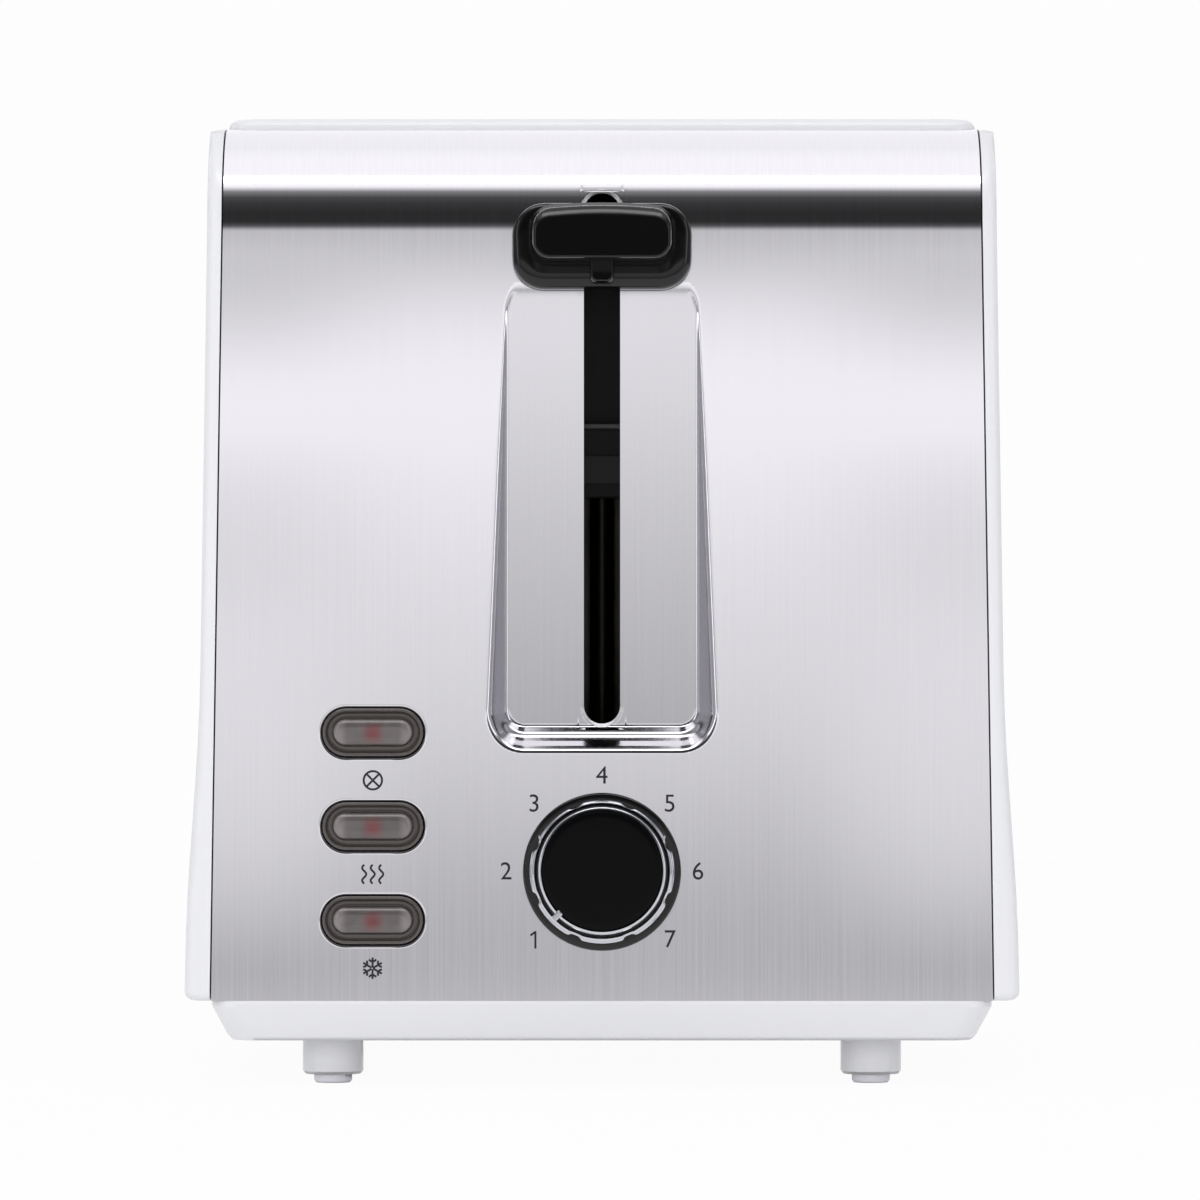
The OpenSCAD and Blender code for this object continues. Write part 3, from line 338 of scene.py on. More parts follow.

# %% [markdown]
# ### Plastics, rubber and small metals
# The white shells are a hard gloss moulding. The lever and the dial are a deep black. The keys
# are a smoked plastic with a coat. Inside, the sheets are plated or darkened by heat, and the
# wires, windings and screws each have the tone of their own metal. The rod finish, which the
# spring shares, is painted near black as painted shade for the dark inside of the housing.

# %% The other finishes
finish = dict(
    brushed_panel=steel,
    white_gloss=plastic("white_moulding", (0.86, 0.86, 0.88), 0.3, variation=0.01, depth=0.04,
                        Coat_Weight=0.3, Coat_Roughness=0.12),
    foot_rubber=plastic("foot_rubber", (0.86, 0.85, 0.91), 0.6, scale=400, depth=0.3),
    black_gloss=plastic("black_gloss", (0.004, 0.004, 0.0045), 0.12, scale=30, wander=0.04, depth=0.03,
                        Specular_IOR_Level=0.46),
    dial_black=plastic("dial_black", (0.0025, 0.0025, 0.003), 0.22, scale=30, wander=0.04, depth=0.03,
                       Specular_IOR_Level=0.08),
    black_matte=plastic("black_matte", (0.025, 0.025, 0.027), 0.55, scale=300, depth=0.2),
    board_green=plastic("board_green", (0.01, 0.10, 0.045), 0.35, scale=200),
    mica=plastic("mica_board", (0.52, 0.38, 0.20), 0.5, variation=0.5, scale=120, depth=0.3),
    lamp_red=plastic("lamp_red", (0.65, 0.015, 0.01), 0.3, Emission_Strength=0.6,
                     Emission_Color=(1.0, 0.05, 0.03, 1)),
    smoked_plastic=plastic("smoked_plastic", (0.075, 0.064, 0.059), 0.22, scale=90,
                           Coat_Weight=0.4, Coat_Roughness=0.06),
    blackened_sheet=plastic("blackened_sheet", (0.05, 0.05, 0.051), 0.5, scale=300, depth=0.2),
    ink=plastic("marking_ink", (0.012, 0.012, 0.014), 0.5),
    chrome_trim=metal("chrome_trim", (0.58, 0.59, 0.62), (0.66, 0.67, 0.70), 0.08, 0.14,
                      (300, 300, 300), depth=0.02),
    rolled_lip=metal("rolled_lip", (0.72, 0.71, 0.74), (0.80, 0.79, 0.82), 0.42, 0.52,
                     (300, 300, 300), depth=0.03),
    # Painted shade: the rod finish is made near black for the dark inside of the housing.
    polished_rod=metal("rod_painted_dark_as_shade", (0.035, 0.033, 0.026), (0.06, 0.056, 0.045), 0.3, 0.42, (400, 400, 60)),
    plated_sheet=metal("plated_sheet", (0.50, 0.50, 0.49), (0.66, 0.66, 0.65), 0.3, 0.45, (260, 260, 200)),
    oven_sheet=metal("oven_sheet", (0.12, 0.115, 0.105), (0.19, 0.18, 0.165), 0.35, 0.5, (260, 260, 200)),
    guard_wire=metal("guard_wire", (0.50, 0.50, 0.49), (0.62, 0.62, 0.61), 0.25, 0.4, (300, 300, 300)),
    screw_steel=metal("screw_steel", (0.30, 0.30, 0.31), (0.42, 0.42, 0.43), 0.3, 0.45, (900, 900, 900)),
    heating_ribbon=metal("heating_ribbon", (0.20, 0.18, 0.17), (0.34, 0.31, 0.29), 0.4, 0.6,
                         (300, 900, 900)),
    magnet_iron=metal("magnet_iron", (0.22, 0.22, 0.23), (0.32, 0.32, 0.33), 0.45, 0.6, (500, 500, 500)),
    copper_winding=metal("copper_winding", (0.55, 0.22, 0.09), (0.75, 0.34, 0.16), 0.25, 0.4,
                         (200, 200, 4000), depth=0.6))

for row in frame["record"]["subparts"]:
    cad = nodes[row["node"]]
    cad.data.materials.clear()
    cad.data.materials.append(finish[row["material_slot"]])
for node in ("end_plate_front", "end_plate_rear"):
    nodes[node].data.materials[0] = finish["oven_sheet"]
print("finishes:", len(finish))

# %% [markdown]
# ## The pressed front panel
# The real panel is one thin sheet. It starts as a flat blank in which the holes are punched. A
# die then presses the recess for the lever into it, and its top is bent over. This script does
# the same: it lays a fine grid in the flat, punches the holes, and only then moves the points.
# Cutting the holes out of the finished curved shape would leave untidy edges.

# %% Profile of the sheet
TAPERED_FROM = 60 * MM
SIDE_TAPER = math.tan(math.radians(0.73))
z_tangent = z_bend + BEND_RADIUS * math.sin(FACE_SLOPE)
straight = (z_tangent - z_foot) / math.cos(FACE_SLOPE)
bend_back = (BEND_RADIUS + (z_bend - z_foot) * math.sin(FACE_SLOPE)) / math.cos(FACE_SLOPE)
flange = panel_high.y - y_front - bend_back
whole_run = straight + BEND_RADIUS * (math.pi / 2 - FACE_SLOPE) + flange


def stations(start, *runs):
    """Places from start onwards; each run says how far apart they are and where it ends, in mm."""
    places = []
    for size, end in runs:
        count = max(1, round((end - start) / size))
        places += [(start + (end - start) * i / count) * MM for i in range(count)]
        start = end
    return places + [start * MM]


def sheet_point(run):
    """How far back and how high the sheet's skin is after a run up from its foot."""
    if run <= straight:
        return run * math.sin(FACE_SLOPE), z_foot + run * math.cos(FACE_SLOPE)
    angle = FACE_SLOPE + (run - straight) / BEND_RADIUS
    if angle <= math.pi / 2:
        return bend_back - BEND_RADIUS * math.cos(angle), z_bend + BEND_RADIUS * math.sin(angle)
    return bend_back + (angle - math.pi / 2) * BEND_RADIUS, z_shoulder


def run_to(height):
    """How long the sheet is up to a height."""
    if height <= z_tangent:
        return (height - z_foot) / math.cos(FACE_SLOPE)
    return straight + BEND_RADIUS * (math.asin((height - z_bend) / BEND_RADIUS) - FACE_SLOPE)


def flat_blank(across, up):
    """The sheet in the flat: X is across, Z is the run up the sheet, Y is the depth."""
    bm = bmesh.new()
    bmesh.ops.create_grid(bm, x_segments=len(across) - 1, y_segments=len(up) - 1, size=0.5)
    for vert in bm.verts:
        x = across[round((vert.co.x + 0.5) * (len(across) - 1))]
        run = up[round((vert.co.y + 0.5) * (len(up) - 1))]
        vert.co = Vector((x, 0, run))
    return bm


def bend(bm):
    """Stand the blank up, taper its sides and wrap its top over the bend."""
    for vert in bm.verts:
        x, depth, run = vert.co
        back, height = sheet_point(run)
        if abs(x) > TAPERED_FROM:
            narrower = (min(height, z_tangent) - z_foot) * SIDE_TAPER
            x -= math.copysign(narrower * (abs(x) - TAPERED_FROM) / (panel_half - TAPERED_FROM), x)
        vert.co = Vector((x, y_front + back, height)) + INTO * depth


def bake_modifiers(piece):
    """Replace a piece's mesh by what its modifiers make of it."""
    evaluated = piece.evaluated_get(bpy.context.evaluated_depsgraph_get())
    mesh = bpy.data.meshes.new_from_object(evaluated)
    piece.modifiers.clear()
    piece.data = mesh


def give_thickness(piece):
    """Make a skin a sheet and let light flow over its soft edges."""
    thick = piece.modifiers.new("sheet", "SOLIDIFY")
    thick.thickness = SHEET
    thick.offset = -1
    bake_modifiers(piece)
    piece.data.shade_smooth()
    piece.data.set_sharp_from_angle(angle=math.radians(40))
    weigh_normals(piece)


def face_outwards(bm, towards):
    """Turn the faces of a skin to the front (-1) or to the rear (1)."""
    bmesh.ops.recalc_face_normals(bm, faces=bm.faces)
    if sum(face.normal.y * face.calc_area() for face in bm.faces) * towards < 0:
        bmesh.ops.reverse_faces(bm, faces=bm.faces)


print("sheet:", round(whole_run / MM, 1), "mm long in the flat")

# %% [markdown]
# ### Rounded rings
# Many forms of the toaster are rounded rectangles: holes, keys, the knob. A ring is one round
# face whose points keep a number, so that each ring can be shaped anew, and the next ring grows
# from it with a wall between them. Long sides get points of their own beside the corners.

# %% Rings
CORNER_STEPS, SIDE_STEPS = 10, 6
QUARTER = CORNER_STEPS + SIDE_STEPS


def start_ring(bm):
    """A round face whose points remember their number, so that it can be shaped again later."""
    number_in_ring = bm.verts.layers.int.get("number") or bm.verts.layers.int.new("number")
    made = bmesh.ops.create_circle(bm, cap_ends=True, radius=1, segments=4 * QUARTER)
    for vert in made["verts"]:
        turned = math.atan2(vert.co.y, vert.co.x) / math.tau
        vert[number_in_ring] = round(turned * 4 * QUARTER) % (4 * QUARTER)
    return made["verts"][0].link_faces[0]


def next_ring(bm, face, open_behind=True):
    """Grow a wall from a ring's face and give back the face at its far end."""
    grown = bmesh.ops.extrude_face_region(bm, geom=[face])
    if open_behind:
        bmesh.ops.delete(bm, geom=[face], context="FACES_ONLY")
    return next(part for part in grown["geom"] if isinstance(part, bmesh.types.BMFace))


def shape_ring(bm, face, width, height, radius, y, x=0, z=0, bow=0, lean=0):
    """Make a face an upright rounded rectangle; bow lifts its top edge and lean tips it back."""
    number_in_ring = bm.verts.layers.int["number"]
    half, tall = (width / 2 - radius) * MM, (height / 2 - radius) * MM
    for vert in face.verts:
        corner, step = divmod(vert[number_in_ring], QUARTER)
        turn = math.pi / 2 * (corner + min(1, step / CORNER_STEPS))
        px = (half, -half, -half, half)[corner] + radius * MM * math.cos(turn)
        pz = (tall, tall, -tall, -tall)[corner] + radius * MM * math.sin(turn)
        along = max(0, (step - CORNER_STEPS) / SIDE_STEPS)
        px += (-2 * half * along, 0, 2 * half * along, 0)[corner]
        pz += (0, -2 * tall * along, 0, 2 * tall * along)[corner]
        if pz > 0:
            pz += bow * MM * (1 - (2 * px / (width * MM)) ** 2)
        vert.co = Vector((x + px, y * MM + lean * pz, z + pz))


print("a ring has", 4 * QUARTER, "points")

# %% [markdown]
# ### Punch the holes
# A hole is a few rings, from the flat sheet inwards to its edge. The rings of a key's hole also
# sink, because a real punch draws the edge in softly. The grid under the rings is taken away, and
# the gap between grid and rings is filled with triangles. All of it is still flat at this point.

# %% Punch
KEYS = ("cancel", "reheat", "defrost")
HOLE_LENGTH, HOLE_HEIGHT, HOLE_FLARE = 20.6, 10, 0.45
SHAFT_HOLE, SHAFT_FLARE = 9.2, 0.1
SLOT_WIDTH, SLOT_RIM, SLOT_SHOULDER = 7.3, 1.1, 0.5
SLOT_PLACE, INNER_RING = len(KEYS) + 2, 99
HAIR, WELD = 0.01 * MM, 0.002 * MM
CLEAR_ROOM, NEAR_HOLE, LONG_EDGE, NEAR_SLOT = 0.12 * MM, 3.4 * MM, 8 * MM, 4.9 * MM
key_spots = {key: on_face(middle(key + "_button")) for key in KEYS}
dial_spot = on_face(middle("dial_shaft"))
slot_low, slot_high = z_foot + 55.4 * MM, z_foot + 162.1 * MM


def clear_window(bm, x, v, width, height):
    """Take away the grid's faces wherever a hole's rings will lie."""
    under = []
    for face in bm.faces:
        xs, zs = [vert.co.x for vert in face.verts], [vert.co.z for vert in face.verts]
        if (min(xs) < x + width / 2 + CLEAR_ROOM and max(xs) > x - width / 2 - CLEAR_ROOM
                and min(zs) < v + height / 2 + CLEAR_ROOM and max(zs) > v - height / 2 - CLEAR_ROOM):
            under.append(face)
    bmesh.ops.delete(bm, geom=under, context="FACES")


def add_rings(bm, rings, x, v, number):
    """Rings from the sheet inwards to the edge of a hole. Only the outer ring keeps the number."""
    place = bm.verts.layers.int["place"]
    far = start_ring(bm)
    for i, ring in enumerate(rings):
        if i:
            far = next_ring(bm, far)
        shape_ring(bm, far, *ring, x, v)
        for vert in far.verts:
            vert[place] = INNER_RING if i else number
    bmesh.ops.delete(bm, geom=[far], context="FACES_ONLY")


def soft_hole(length, height, flare):
    """Rings of a hole whose edge is drawn in: each is so much wider than the hole, and so deep."""
    turns = [math.pi / 2 * i / 6 for i in range(7)]
    rings = [(flare * (1 - math.sin(turn)), flare * (1 - math.cos(turn))) for turn in turns]
    return [(length + 2 * w, height + 2 * w, height / 2 + w, depth)
            for w, depth in [(0.25 + flare, 0)] + rings + [(0, flare + 0.2)]]


def slot_rings():
    """Rings of the long slot, from a squarer outer one to its own half round ends."""
    length, half = (slot_high - slot_low) / MM, SLOT_WIDTH / 2
    return [(SLOT_WIDTH + 2 * w, length + 2 * w, half - (half - SLOT_SHOULDER) * w / SLOT_RIM, 0)
            for w in (SLOT_RIM, 1.0, 0.9, 0.8, 0.7, 0.6, 0.5, 0.4, 0.3, 0.2, 0.1, 0)]


def fill_gap(bm, i):
    """Fill the gap between the grid and the outer ring of a hole."""
    place = bm.verts.layers.int["place"]
    rim = [edge for edge in bm.edges if edge.is_boundary
           and all(vert[place] in (-1 - i, 1 + i) for vert in edge.verts)]
    bmesh.ops.triangle_fill(bm, use_beauty=True, use_dissolve=False, edges=rim, normal=(0, -1, 0))


def punched_blank(across, up):
    """The flat sheet with its holes. A ring's points get its place, the grid's round it minus that."""
    bm = flat_blank(across, up)
    place = bm.verts.layers.int.new("place")
    bm.verts.layers.int.new("number")
    key_hole = soft_hole(HOLE_LENGTH, HOLE_HEIGHT, HOLE_FLARE)
    holes = [(key_hole, key_spots[key].x, key_spots[key].z) for key in KEYS]
    holes.append((soft_hole(SHAFT_HOLE, SHAFT_HOLE, SHAFT_FLARE), 0, dial_spot.z))
    holes.append((slot_rings(), 0, (slot_low + slot_high) / 2 - z_foot))
    for rings, x, v in holes:
        clear_window(bm, x, v, rings[0][0] * MM, rings[0][1] * MM)
    window = {vert for edge in bm.edges if edge.is_boundary for vert in edge.verts
              if abs(vert.co.x) < panel_half - HAIR and HAIR < vert.co.z < whole_run - HAIR}
    for vert in window:
        for i, (rings, x, v) in enumerate(holes):
            if (abs(vert.co.x - x) < rings[0][0] / 2 * MM + NEAR_HOLE
                    and abs(vert.co.z - v) < rings[0][1] / 2 * MM + NEAR_HOLE):
                vert[place] = -1 - i
    for i, (rings, x, v) in enumerate(holes):
        add_rings(bm, rings, x, v, 1 + i)
    bmesh.ops.remove_doubles(bm, verts=[vert for vert in bm.verts if vert[place] > 0], dist=WELD)
    long_edges = [edge for edge in bm.edges if edge.calc_length() > LONG_EDGE]
    bmesh.ops.subdivide_edges(bm, edges=long_edges, cuts=15, use_grid_fill=True)
    for vert in bm.verts:
        beside_slot = abs(vert.co.x) < NEAR_SLOT and slot_low - z_foot < vert.co.z < slot_high - z_foot
        if beside_slot and vert[place] == 0 and any(edge.is_boundary for edge in vert.link_edges):
            vert[place] = SLOT_PLACE
    for i in range(len(holes)):
        fill_gap(bm, i)
    return bm


print("the long slot is", round((slot_high - slot_low) / MM, 1), "mm long")

# %% [markdown]
# ### Press the recess
# Each point is moved back by how deep the recess is there. The depth falls off with the distance
# from the recess floor, in two soft stages at its foot and in one slope at its sides, and a soft
# maximum rounds the outer rim. The ends of the long slot get a rolled lip in the same way. Thin
# steel is never quite flat either: beside its stiff middle the sheet hangs back by a few tenths
# of a millimetre, which bends every reflection a little.

# %% Press
knob_low, knob_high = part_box("lever_knob")
RECESS_HALF = (knob_high.x - knob_low.x) / 2 + 0.8 * MM
RECESS_FOOT = slot_low - 0.4 * MM
RECESS_CORNER = 3.3 * MM
RECESS_BACK = 7.494 * MM
RECESS_HEAD = z_foot + 145.3 * MM
HEAD_CORNER = 7 * MM
DIE_HALF, DIE_FOOT = 30 * MM, 60 * MM
LIP_DEPTH, LIP_WIDTH, LIP_LENGTH = 0.4 * MM, 0.8 * MM, 3.4 * MM


def soft_step(value, start, end):
    """From nothing at start to one at end, softly."""
    t = min(1, max(0, (value - start) / (end - start)))
    return t * t * (3 - 2 * t)


def soft_ramp(value, start, width):
    """Nothing before start, then a slope of one that sets in softly."""
    t = value - start
    return 0 if t < 0 else t * t / (2 * width) if t < width else t - width / 2


def soft_max(a, b, blend):
    """The larger of two values, rounded where they are nearly the same."""
    t = max(blend - abs(a - b), 0) / blend
    return max(a, b) + t * t * blend / 4


def outside_recess(x, height):
    """Distance outside the rounded floor of the recess, and how much that way points downwards."""
    dx = abs(x) - (RECESS_HALF - RECESS_CORNER)
    dz = (RECESS_FOOT + RECESS_CORNER) - height
    if dz <= 0:
        inwards = max(0, abs(x) - RECESS_HALF + HEAD_CORNER)
        upwards = max(0, height - RECESS_HEAD + HEAD_CORNER)
        return (math.hypot(inwards, upwards) if inwards else 0) - HEAD_CORNER, 0
    if dx <= 0:
        return dz - RECESS_CORNER, 1
    return math.hypot(dx, dz) - RECESS_CORNER, soft_step(math.atan2(dz, dx), 0.3, 1.25)


def outside_slot(x, height):
    """Distance outside the long slot's edge, less than nothing within the slot."""
    half = SLOT_WIDTH / 2 * MM
    return math.hypot(x, height - min(slot_high - half, max(slot_low + half, height))) - half


def waviness(x, up_sheet):
    """How far the thin sheet hangs back beside its stiff middle."""
    lean = (0.42 * soft_step(up_sheet, 2 * MM, 78 * MM) - 0.13 * soft_step(up_sheet, 78 * MM, 114 * MM)
            + 0.05 * soft_step(up_sheet, 118 * MM, 150 * MM))
    return lean * MM * soft_step(abs(x), 30 * MM, 72 * MM)


def bend_slack(height):
    """How far the sheet lags behind just where its bend sets in."""
    return 0.07 * MM * soft_step(height, z_tangent - 1.4 * MM, z_tangent + 2.2 * MM)


def press(bm):
    """Press the recess and the slot's lip into the bent sheet."""
    for vert in bm.verts:
        x, y, z = vert.co
        vert.co.y += bend_slack(z) + waviness(x, z - z_foot)
        if z <= DIE_FOOT:
            continue
        floor_depth = y_front + RECESS_BACK - y
        if floor_depth > 0 and abs(x) < DIE_HALF:
            far, downwards = outside_recess(x, z)
            at_foot = 0.38 * soft_ramp(far, 0, 0.4 * MM) + 0.9 * MM * soft_step(far, 0, 1.5 * MM)
            at_foot += soft_ramp(far, 2 * MM, MM)
            at_side = 1.25 * soft_ramp(far, 0, 0.7 * MM)
            rise = downwards * at_foot + (1 - downwards) * at_side
            vert.co.y = y + soft_max(floor_depth - rise, 0, min(0.8 * MM, 0.05 * MM + 0.4 * floor_depth))
        lip = 1 - soft_step(outside_slot(x, z), -0.05 * MM, 0.65 * MM)
        near_end = min(z - slot_low, slot_high - z)
        vert.co.y += LIP_DEPTH * lip * (1 - soft_step(near_end, 0.5 * MM, 3.2 * MM))


def mark_lip(bm):
    """Give the rolled ends of the slot the sheet's second finish."""
    for face in bm.faces:
        spot = face.calc_center_median()
        near_end = min(abs(spot.z - slot_low), abs(slot_high - spot.z)) < LIP_LENGTH
        if near_end and outside_slot(spot.x, spot.z) < LIP_WIDTH:
            face.material_index = 1


print("recess:", round(2 * RECESS_HALF / MM, 1), "mm across its floor")

# %% [markdown]
# ### Put the front panel together
# The stations of the grid lie close together wherever the form turns, at the recess's sides, its
# foot and the bend, and far apart where the sheet is flat. The slot runs a little way into the
# bend, so its top points first move up the sheet to where they end at their own height.

# %% Front panel
bend_low, bend_high = straight / MM, (whole_run - flange) / MM
half_across = stations(0, (2, 4), (0.5, 7), (2.5, 14.5), (0.3, 26), (3, panel_half / MM))
across = [-x for x in reversed(half_across[1:])] + half_across
up = stations(0, (3, 42), (0.3, 62.5), (2, 138), (0.8, bend_low - 4), (0.35, bend_low + 12),
              (0.8, bend_high), (flange / MM, whole_run / MM))
sheet = punched_blank(across, up)
place = sheet.verts.layers.int["place"]
for vert in sheet.verts:
    if abs(vert.co.x) < NEAR_SLOT and vert.co.z > straight and vert[place] >= SLOT_PLACE:
        vert.co.z = run_to(min(z_shoulder - 4 * MM, vert.co.z + z_foot))
bend(sheet)
press(sheet)
face_outwards(sheet, -1)
mark_lip(sheet)
front = add_piece("pressed_front_panel", sheet, "brushed_panel", crisp=40)
front.data.materials.append(finish["rolled_lip"])
give_thickness(front)
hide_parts("front_panel")
print("front panel:", len(front.data.polygons), "faces")

# %% [markdown]
# ## The plain rear panel
# The far end is the same sheet without a recess, turned round by a mirror. A mirror turns the
# faces inside out, so they are turned back. A round cutter opens it for the cord's gland.

# %% Rear panel
GLAND_OPENING = 6.02 * MM


def cut_with(piece, cutter):
    """Cut one closed mesh out of another."""
    boolean = piece.modifiers.new("cut", "BOOLEAN")
    boolean.operation = "DIFFERENCE"
    boolean.solver = "EXACT"
    boolean.object = cutter
    bake_modifiers(piece)
    bpy.data.objects.remove(cutter)


rear = flat_blank([-panel_half, -60 * MM, -30 * MM, 0, 30 * MM, 60 * MM, panel_half],
                  stations(0, (bend_low / 12, bend_low), (0.8, bend_high), (flange / MM, whole_run / MM)))
bend(rear)
turned_round = Matrix.Translation((0, 2 * y_middle, 0)) @ Matrix.Scale(-1, 4, (0, 1, 0))
bmesh.ops.transform(rear, verts=rear.verts, matrix=turned_round)
face_outwards(rear, 1)
rear_panel = add_piece("plain_rear_panel", rear, "brushed_panel", crisp=40)
give_thickness(rear_panel)
rear_panel.modifiers.clear()
gland = middle("cord_gland")
outlet = bmesh.new()
bmesh.ops.create_cone(outlet, cap_ends=True, segments=48, radius1=GLAND_OPENING, radius2=GLAND_OPENING,
                      depth=20 * MM)
bmesh.ops.transform(outlet, verts=outlet.verts, matrix=Matrix.Translation((gland.x, rear_high.y, gland.z))
                    @ Matrix.Rotation(math.pi / 2 + FACE_SLOPE, 4, "X"))
cut_with(rear_panel, add_piece("outlet_cutter", outlet, body=None, material=finish["ink"]))
rear_panel.data.set_sharp_from_angle(angle=math.radians(40))
weigh_normals(rear_panel)
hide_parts("rear_panel")
print("rear panel:", len(rear_panel.data.polygons), "faces")

# %% [markdown]
# ## White mouldings and foot pads
# The side shells, the cover, the base and the small mouldings already have their true form in
# the solids. A copy whose doubled corners are merged shades as one smooth moulding, and the
# smallest ones get a soft edge as well.


# %% White mouldings and foot pads
def soften(piece, width, crisp):
    """Round a piece's crisp edges."""
    edges = piece.modifiers.new("soft_edges", "BEVEL")
    edges.width = width * MM
    edges.segments = 3
    edges.limit_method = "ANGLE"
    edges.angle_limit = math.radians(crisp)
    edges.harden_normals = False


def smoothed_copy(node, name, slot, body, crisp, bevel=0.0):
    """A solid's own shape with its doubled corners merged, so that light flows over it."""
    bm = bmesh.new()
    bm.from_mesh(nodes[node].data)
    bmesh.ops.remove_doubles(bm, verts=bm.verts, dist=0.004 * MM)
    bmesh.ops.dissolve_limit(bm, angle_limit=math.radians(0.4), verts=bm.verts, edges=bm.edges)
    piece = add_piece(name, bm, slot, body, crisp)
    if bevel:
        soften(piece, bevel, crisp)
    weigh_normals(piece)
    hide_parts(node)
    return piece


for node, kind, crisp, bevel in (
        ("side_shell_left", "moulding", 35, 0), ("side_shell_right", "moulding", 35, 0),
        ("top_cover", "moulding", 35, 0), ("base", "moulding", 40, 0),
        ("foot_pad_front_left", "rubber", 40, 0), ("foot_pad_front_right", "rubber", 40, 0),
        ("foot_pad_rear_left", "rubber", 40, 0), ("foot_pad_rear_right", "rubber", 40, 0),
        ("cord_gland", "moulding", 40, 0.15), ("crumb_tray_handle", "moulding", 25, 0.3)):
    slot = "foot_rubber" if kind == "rubber" else "white_gloss"
    body = "crumb_drawer" if node == "crumb_tray_handle" else "housing"
    copy = smoothed_copy(node, node + "_" + kind, slot, body, crisp, bevel)
    print(copy.name, len(copy.data.polygons), "faces")

# %% [markdown]
# ## The lever knob
# The knob is a glossy black moulding: a rounded back plate that rides in the recess, and a ledge
# for the finger whose upper edge is bowed. Both are lofts through rounded rectangles, because the
# rings round every edge in all directions at once, and a soft wide edge is what catches the light.


# %% Lever knob
def ring_loft(bm, rings, x=0, z=0):
    """A closed solid through rounded rectangles: width, height, corner, depth and lift, bow, lean."""
    far = start_ring(bm)
    for i, (width, height, radius, y, *more) in enumerate(rings):
        lift, bow, lean = (more + [0, 0, 0])[:3]
        if i:
            far = next_ring(bm, far, open_behind=i > 1)
        shape_ring(bm, far, width, height, radius, y, x, z + lift * MM, bow, lean)
    bmesh.ops.remove_doubles(bm, verts=bm.verts, dist=WELD)
    bmesh.ops.recalc_face_normals(bm, faces=bm.faces)


plate_w, plate_h = (knob_high.x - knob_low.x) / MM, (knob_high.z - knob_low.z) / MM
knob_depth = (knob_high.y - knob_low.y) / MM
knob_middle = (knob_low.z + knob_high.z) / 2
knob = bmesh.new()
plate_rings = ((0.8, 0, 0), (0, 0.5, 0), (0, 2.4, 0), (0.3, 3.1, 0.02), (0.9, 3.6, 0.05), (1.8, 3.9, 0.07),
               (3.0, 4.1, 0.08), (5.0, 4.2, 0.09), (7.0, 4.25, 0.09))
ring_loft(knob, [(plate_w - w, plate_h - w, 6.5 - w / 2, -d, 0, 0, lean) for w, d, lean in plate_rings],
          0, knob_middle)
tip = 0.8 - knob_depth
ledge_rings = (
    (30.4, 12.4, 4.6, -3.4, 1.7, 0.9, 0.05), (29.6, 11.6, 4.3, -4.3, 1.7, 0.9, 0.05),
    (28.6, 10.6, 3.9, -5.2, 1.7, 0.9, 0.05), (28, 10, 3.6, -7, 1.7, 0.9, 0.05),
    (27.7, 9.7, 3.5, tip + 2.2, 1.7, 0.9, 0.05), (27.6, 9.6, 3.5, tip + 1.3, 1.65, 0.9, 0.08),
    (27.45, 9.3, 3.4, tip + 0.9, 1.52, 0.9, 0.1), (27.25, 8.7, 3.2, tip + 0.48, 1.25, 0.9, 0.12),
    (26.9, 8.15, 3.0, tip + 0.18, 1.05, 0.85, 0.14), (26.4, 7.7, 2.75, tip + 0.04, 0.98, 0.8, 0.14),
    (25.6, 7.1, 2.45, tip, 0.95, 0.75, 0.14), (24, 6, 1.9, tip, 0.9, 0.6, 0.14))
ring_loft(knob, ledge_rings, 0, knob_middle)
stem_rings = ((5.6, 9.2, 1.2, 3.4, 0), (5.0, 9.0, 1.2, 4.6, 0), (4.7, 8.9, 1.2, 8, 0.06),
              (4.6, 8.8, 1.2, 12.2, 0.08), (4.3, 8.4, 1.1, 12.7, 0.1), (3.6, 7.7, 0.9, 12.95, 0.12))
ring_loft(knob, [(w, h, radius, -d, -3.2, 0, lean) for w, h, radius, d, lean in stem_rings], 0, knob_middle)
bmesh.ops.translate(knob, vec=(0, knob_high.y, 0), verts=knob.verts)
lever = dress("lever_knob_moulding", knob, "black_gloss", "carriage")
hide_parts("lever_knob")
print("knob:", plate_w, "by", plate_h, "by", knob_depth, "mm")

# %% [markdown]
# ## What shows through the slot
# Behind the long slot runs the carriage on its rod, in the dark of the housing. A blackened slide
# plate faces the slot. Its folded edge is bare iron, which catches a little light, and the
# stiffening rib below it is a lighter grey sheet than the plate. They are short lofts between
# rounded rectangles on the carriage.

# %% Slide plate behind the slot
block_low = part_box("slider_block")[0]
block_front = block_low.y / MM
for part, width, height, lift, depth, slot, material in (
        ("plate", 9, 15, 7.6, 0.9, "black_matte", "black_matte"),
        ("fold", 9, 1.1, 14.55, 3.4, "magnet_iron", "magnet_iron"),
        ("rib", 9, 5.8, 5.7, 1.7, "black_matte", "blackened_sheet")):
    bm = bmesh.new()
    ring_loft(bm, [(width, height, 0.3, block_front + 0.4), (width, height, 0.3, block_front + 0.2 - depth),
                   (width - 0.3, height - 0.3, 0.2, block_front - depth)], 0, block_low.z + lift * MM)
    dress("carriage_slide_" + part, bm, slot, "carriage", crisp=35, material=finish[material])
    print("slide", part, width, "by", height, "mm")

# %% [markdown]
# ## The return spring
# The spring hangs from a tab of the frame and its other end sits on the carriage, so it
# stretches as the lever goes down. The coil is a smoothed copy of its own solid, set in place
# and riding on no body.

# %% Return spring
coil = smoothed_copy("return_spring", "return_spring_coil", "polished_rod", body=None, crisp=60)
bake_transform(coil)

# %% [markdown]
# ## The browning dial
# The dial is three turned pieces: a black skirt, a chrome ring whose rim has shallow finger
# scallops, and a black cap set into it. Each starts as half a section and is spun round the axis.
# The scallops come after the spin: points of the rim inside a finger's circle are moved inwards.


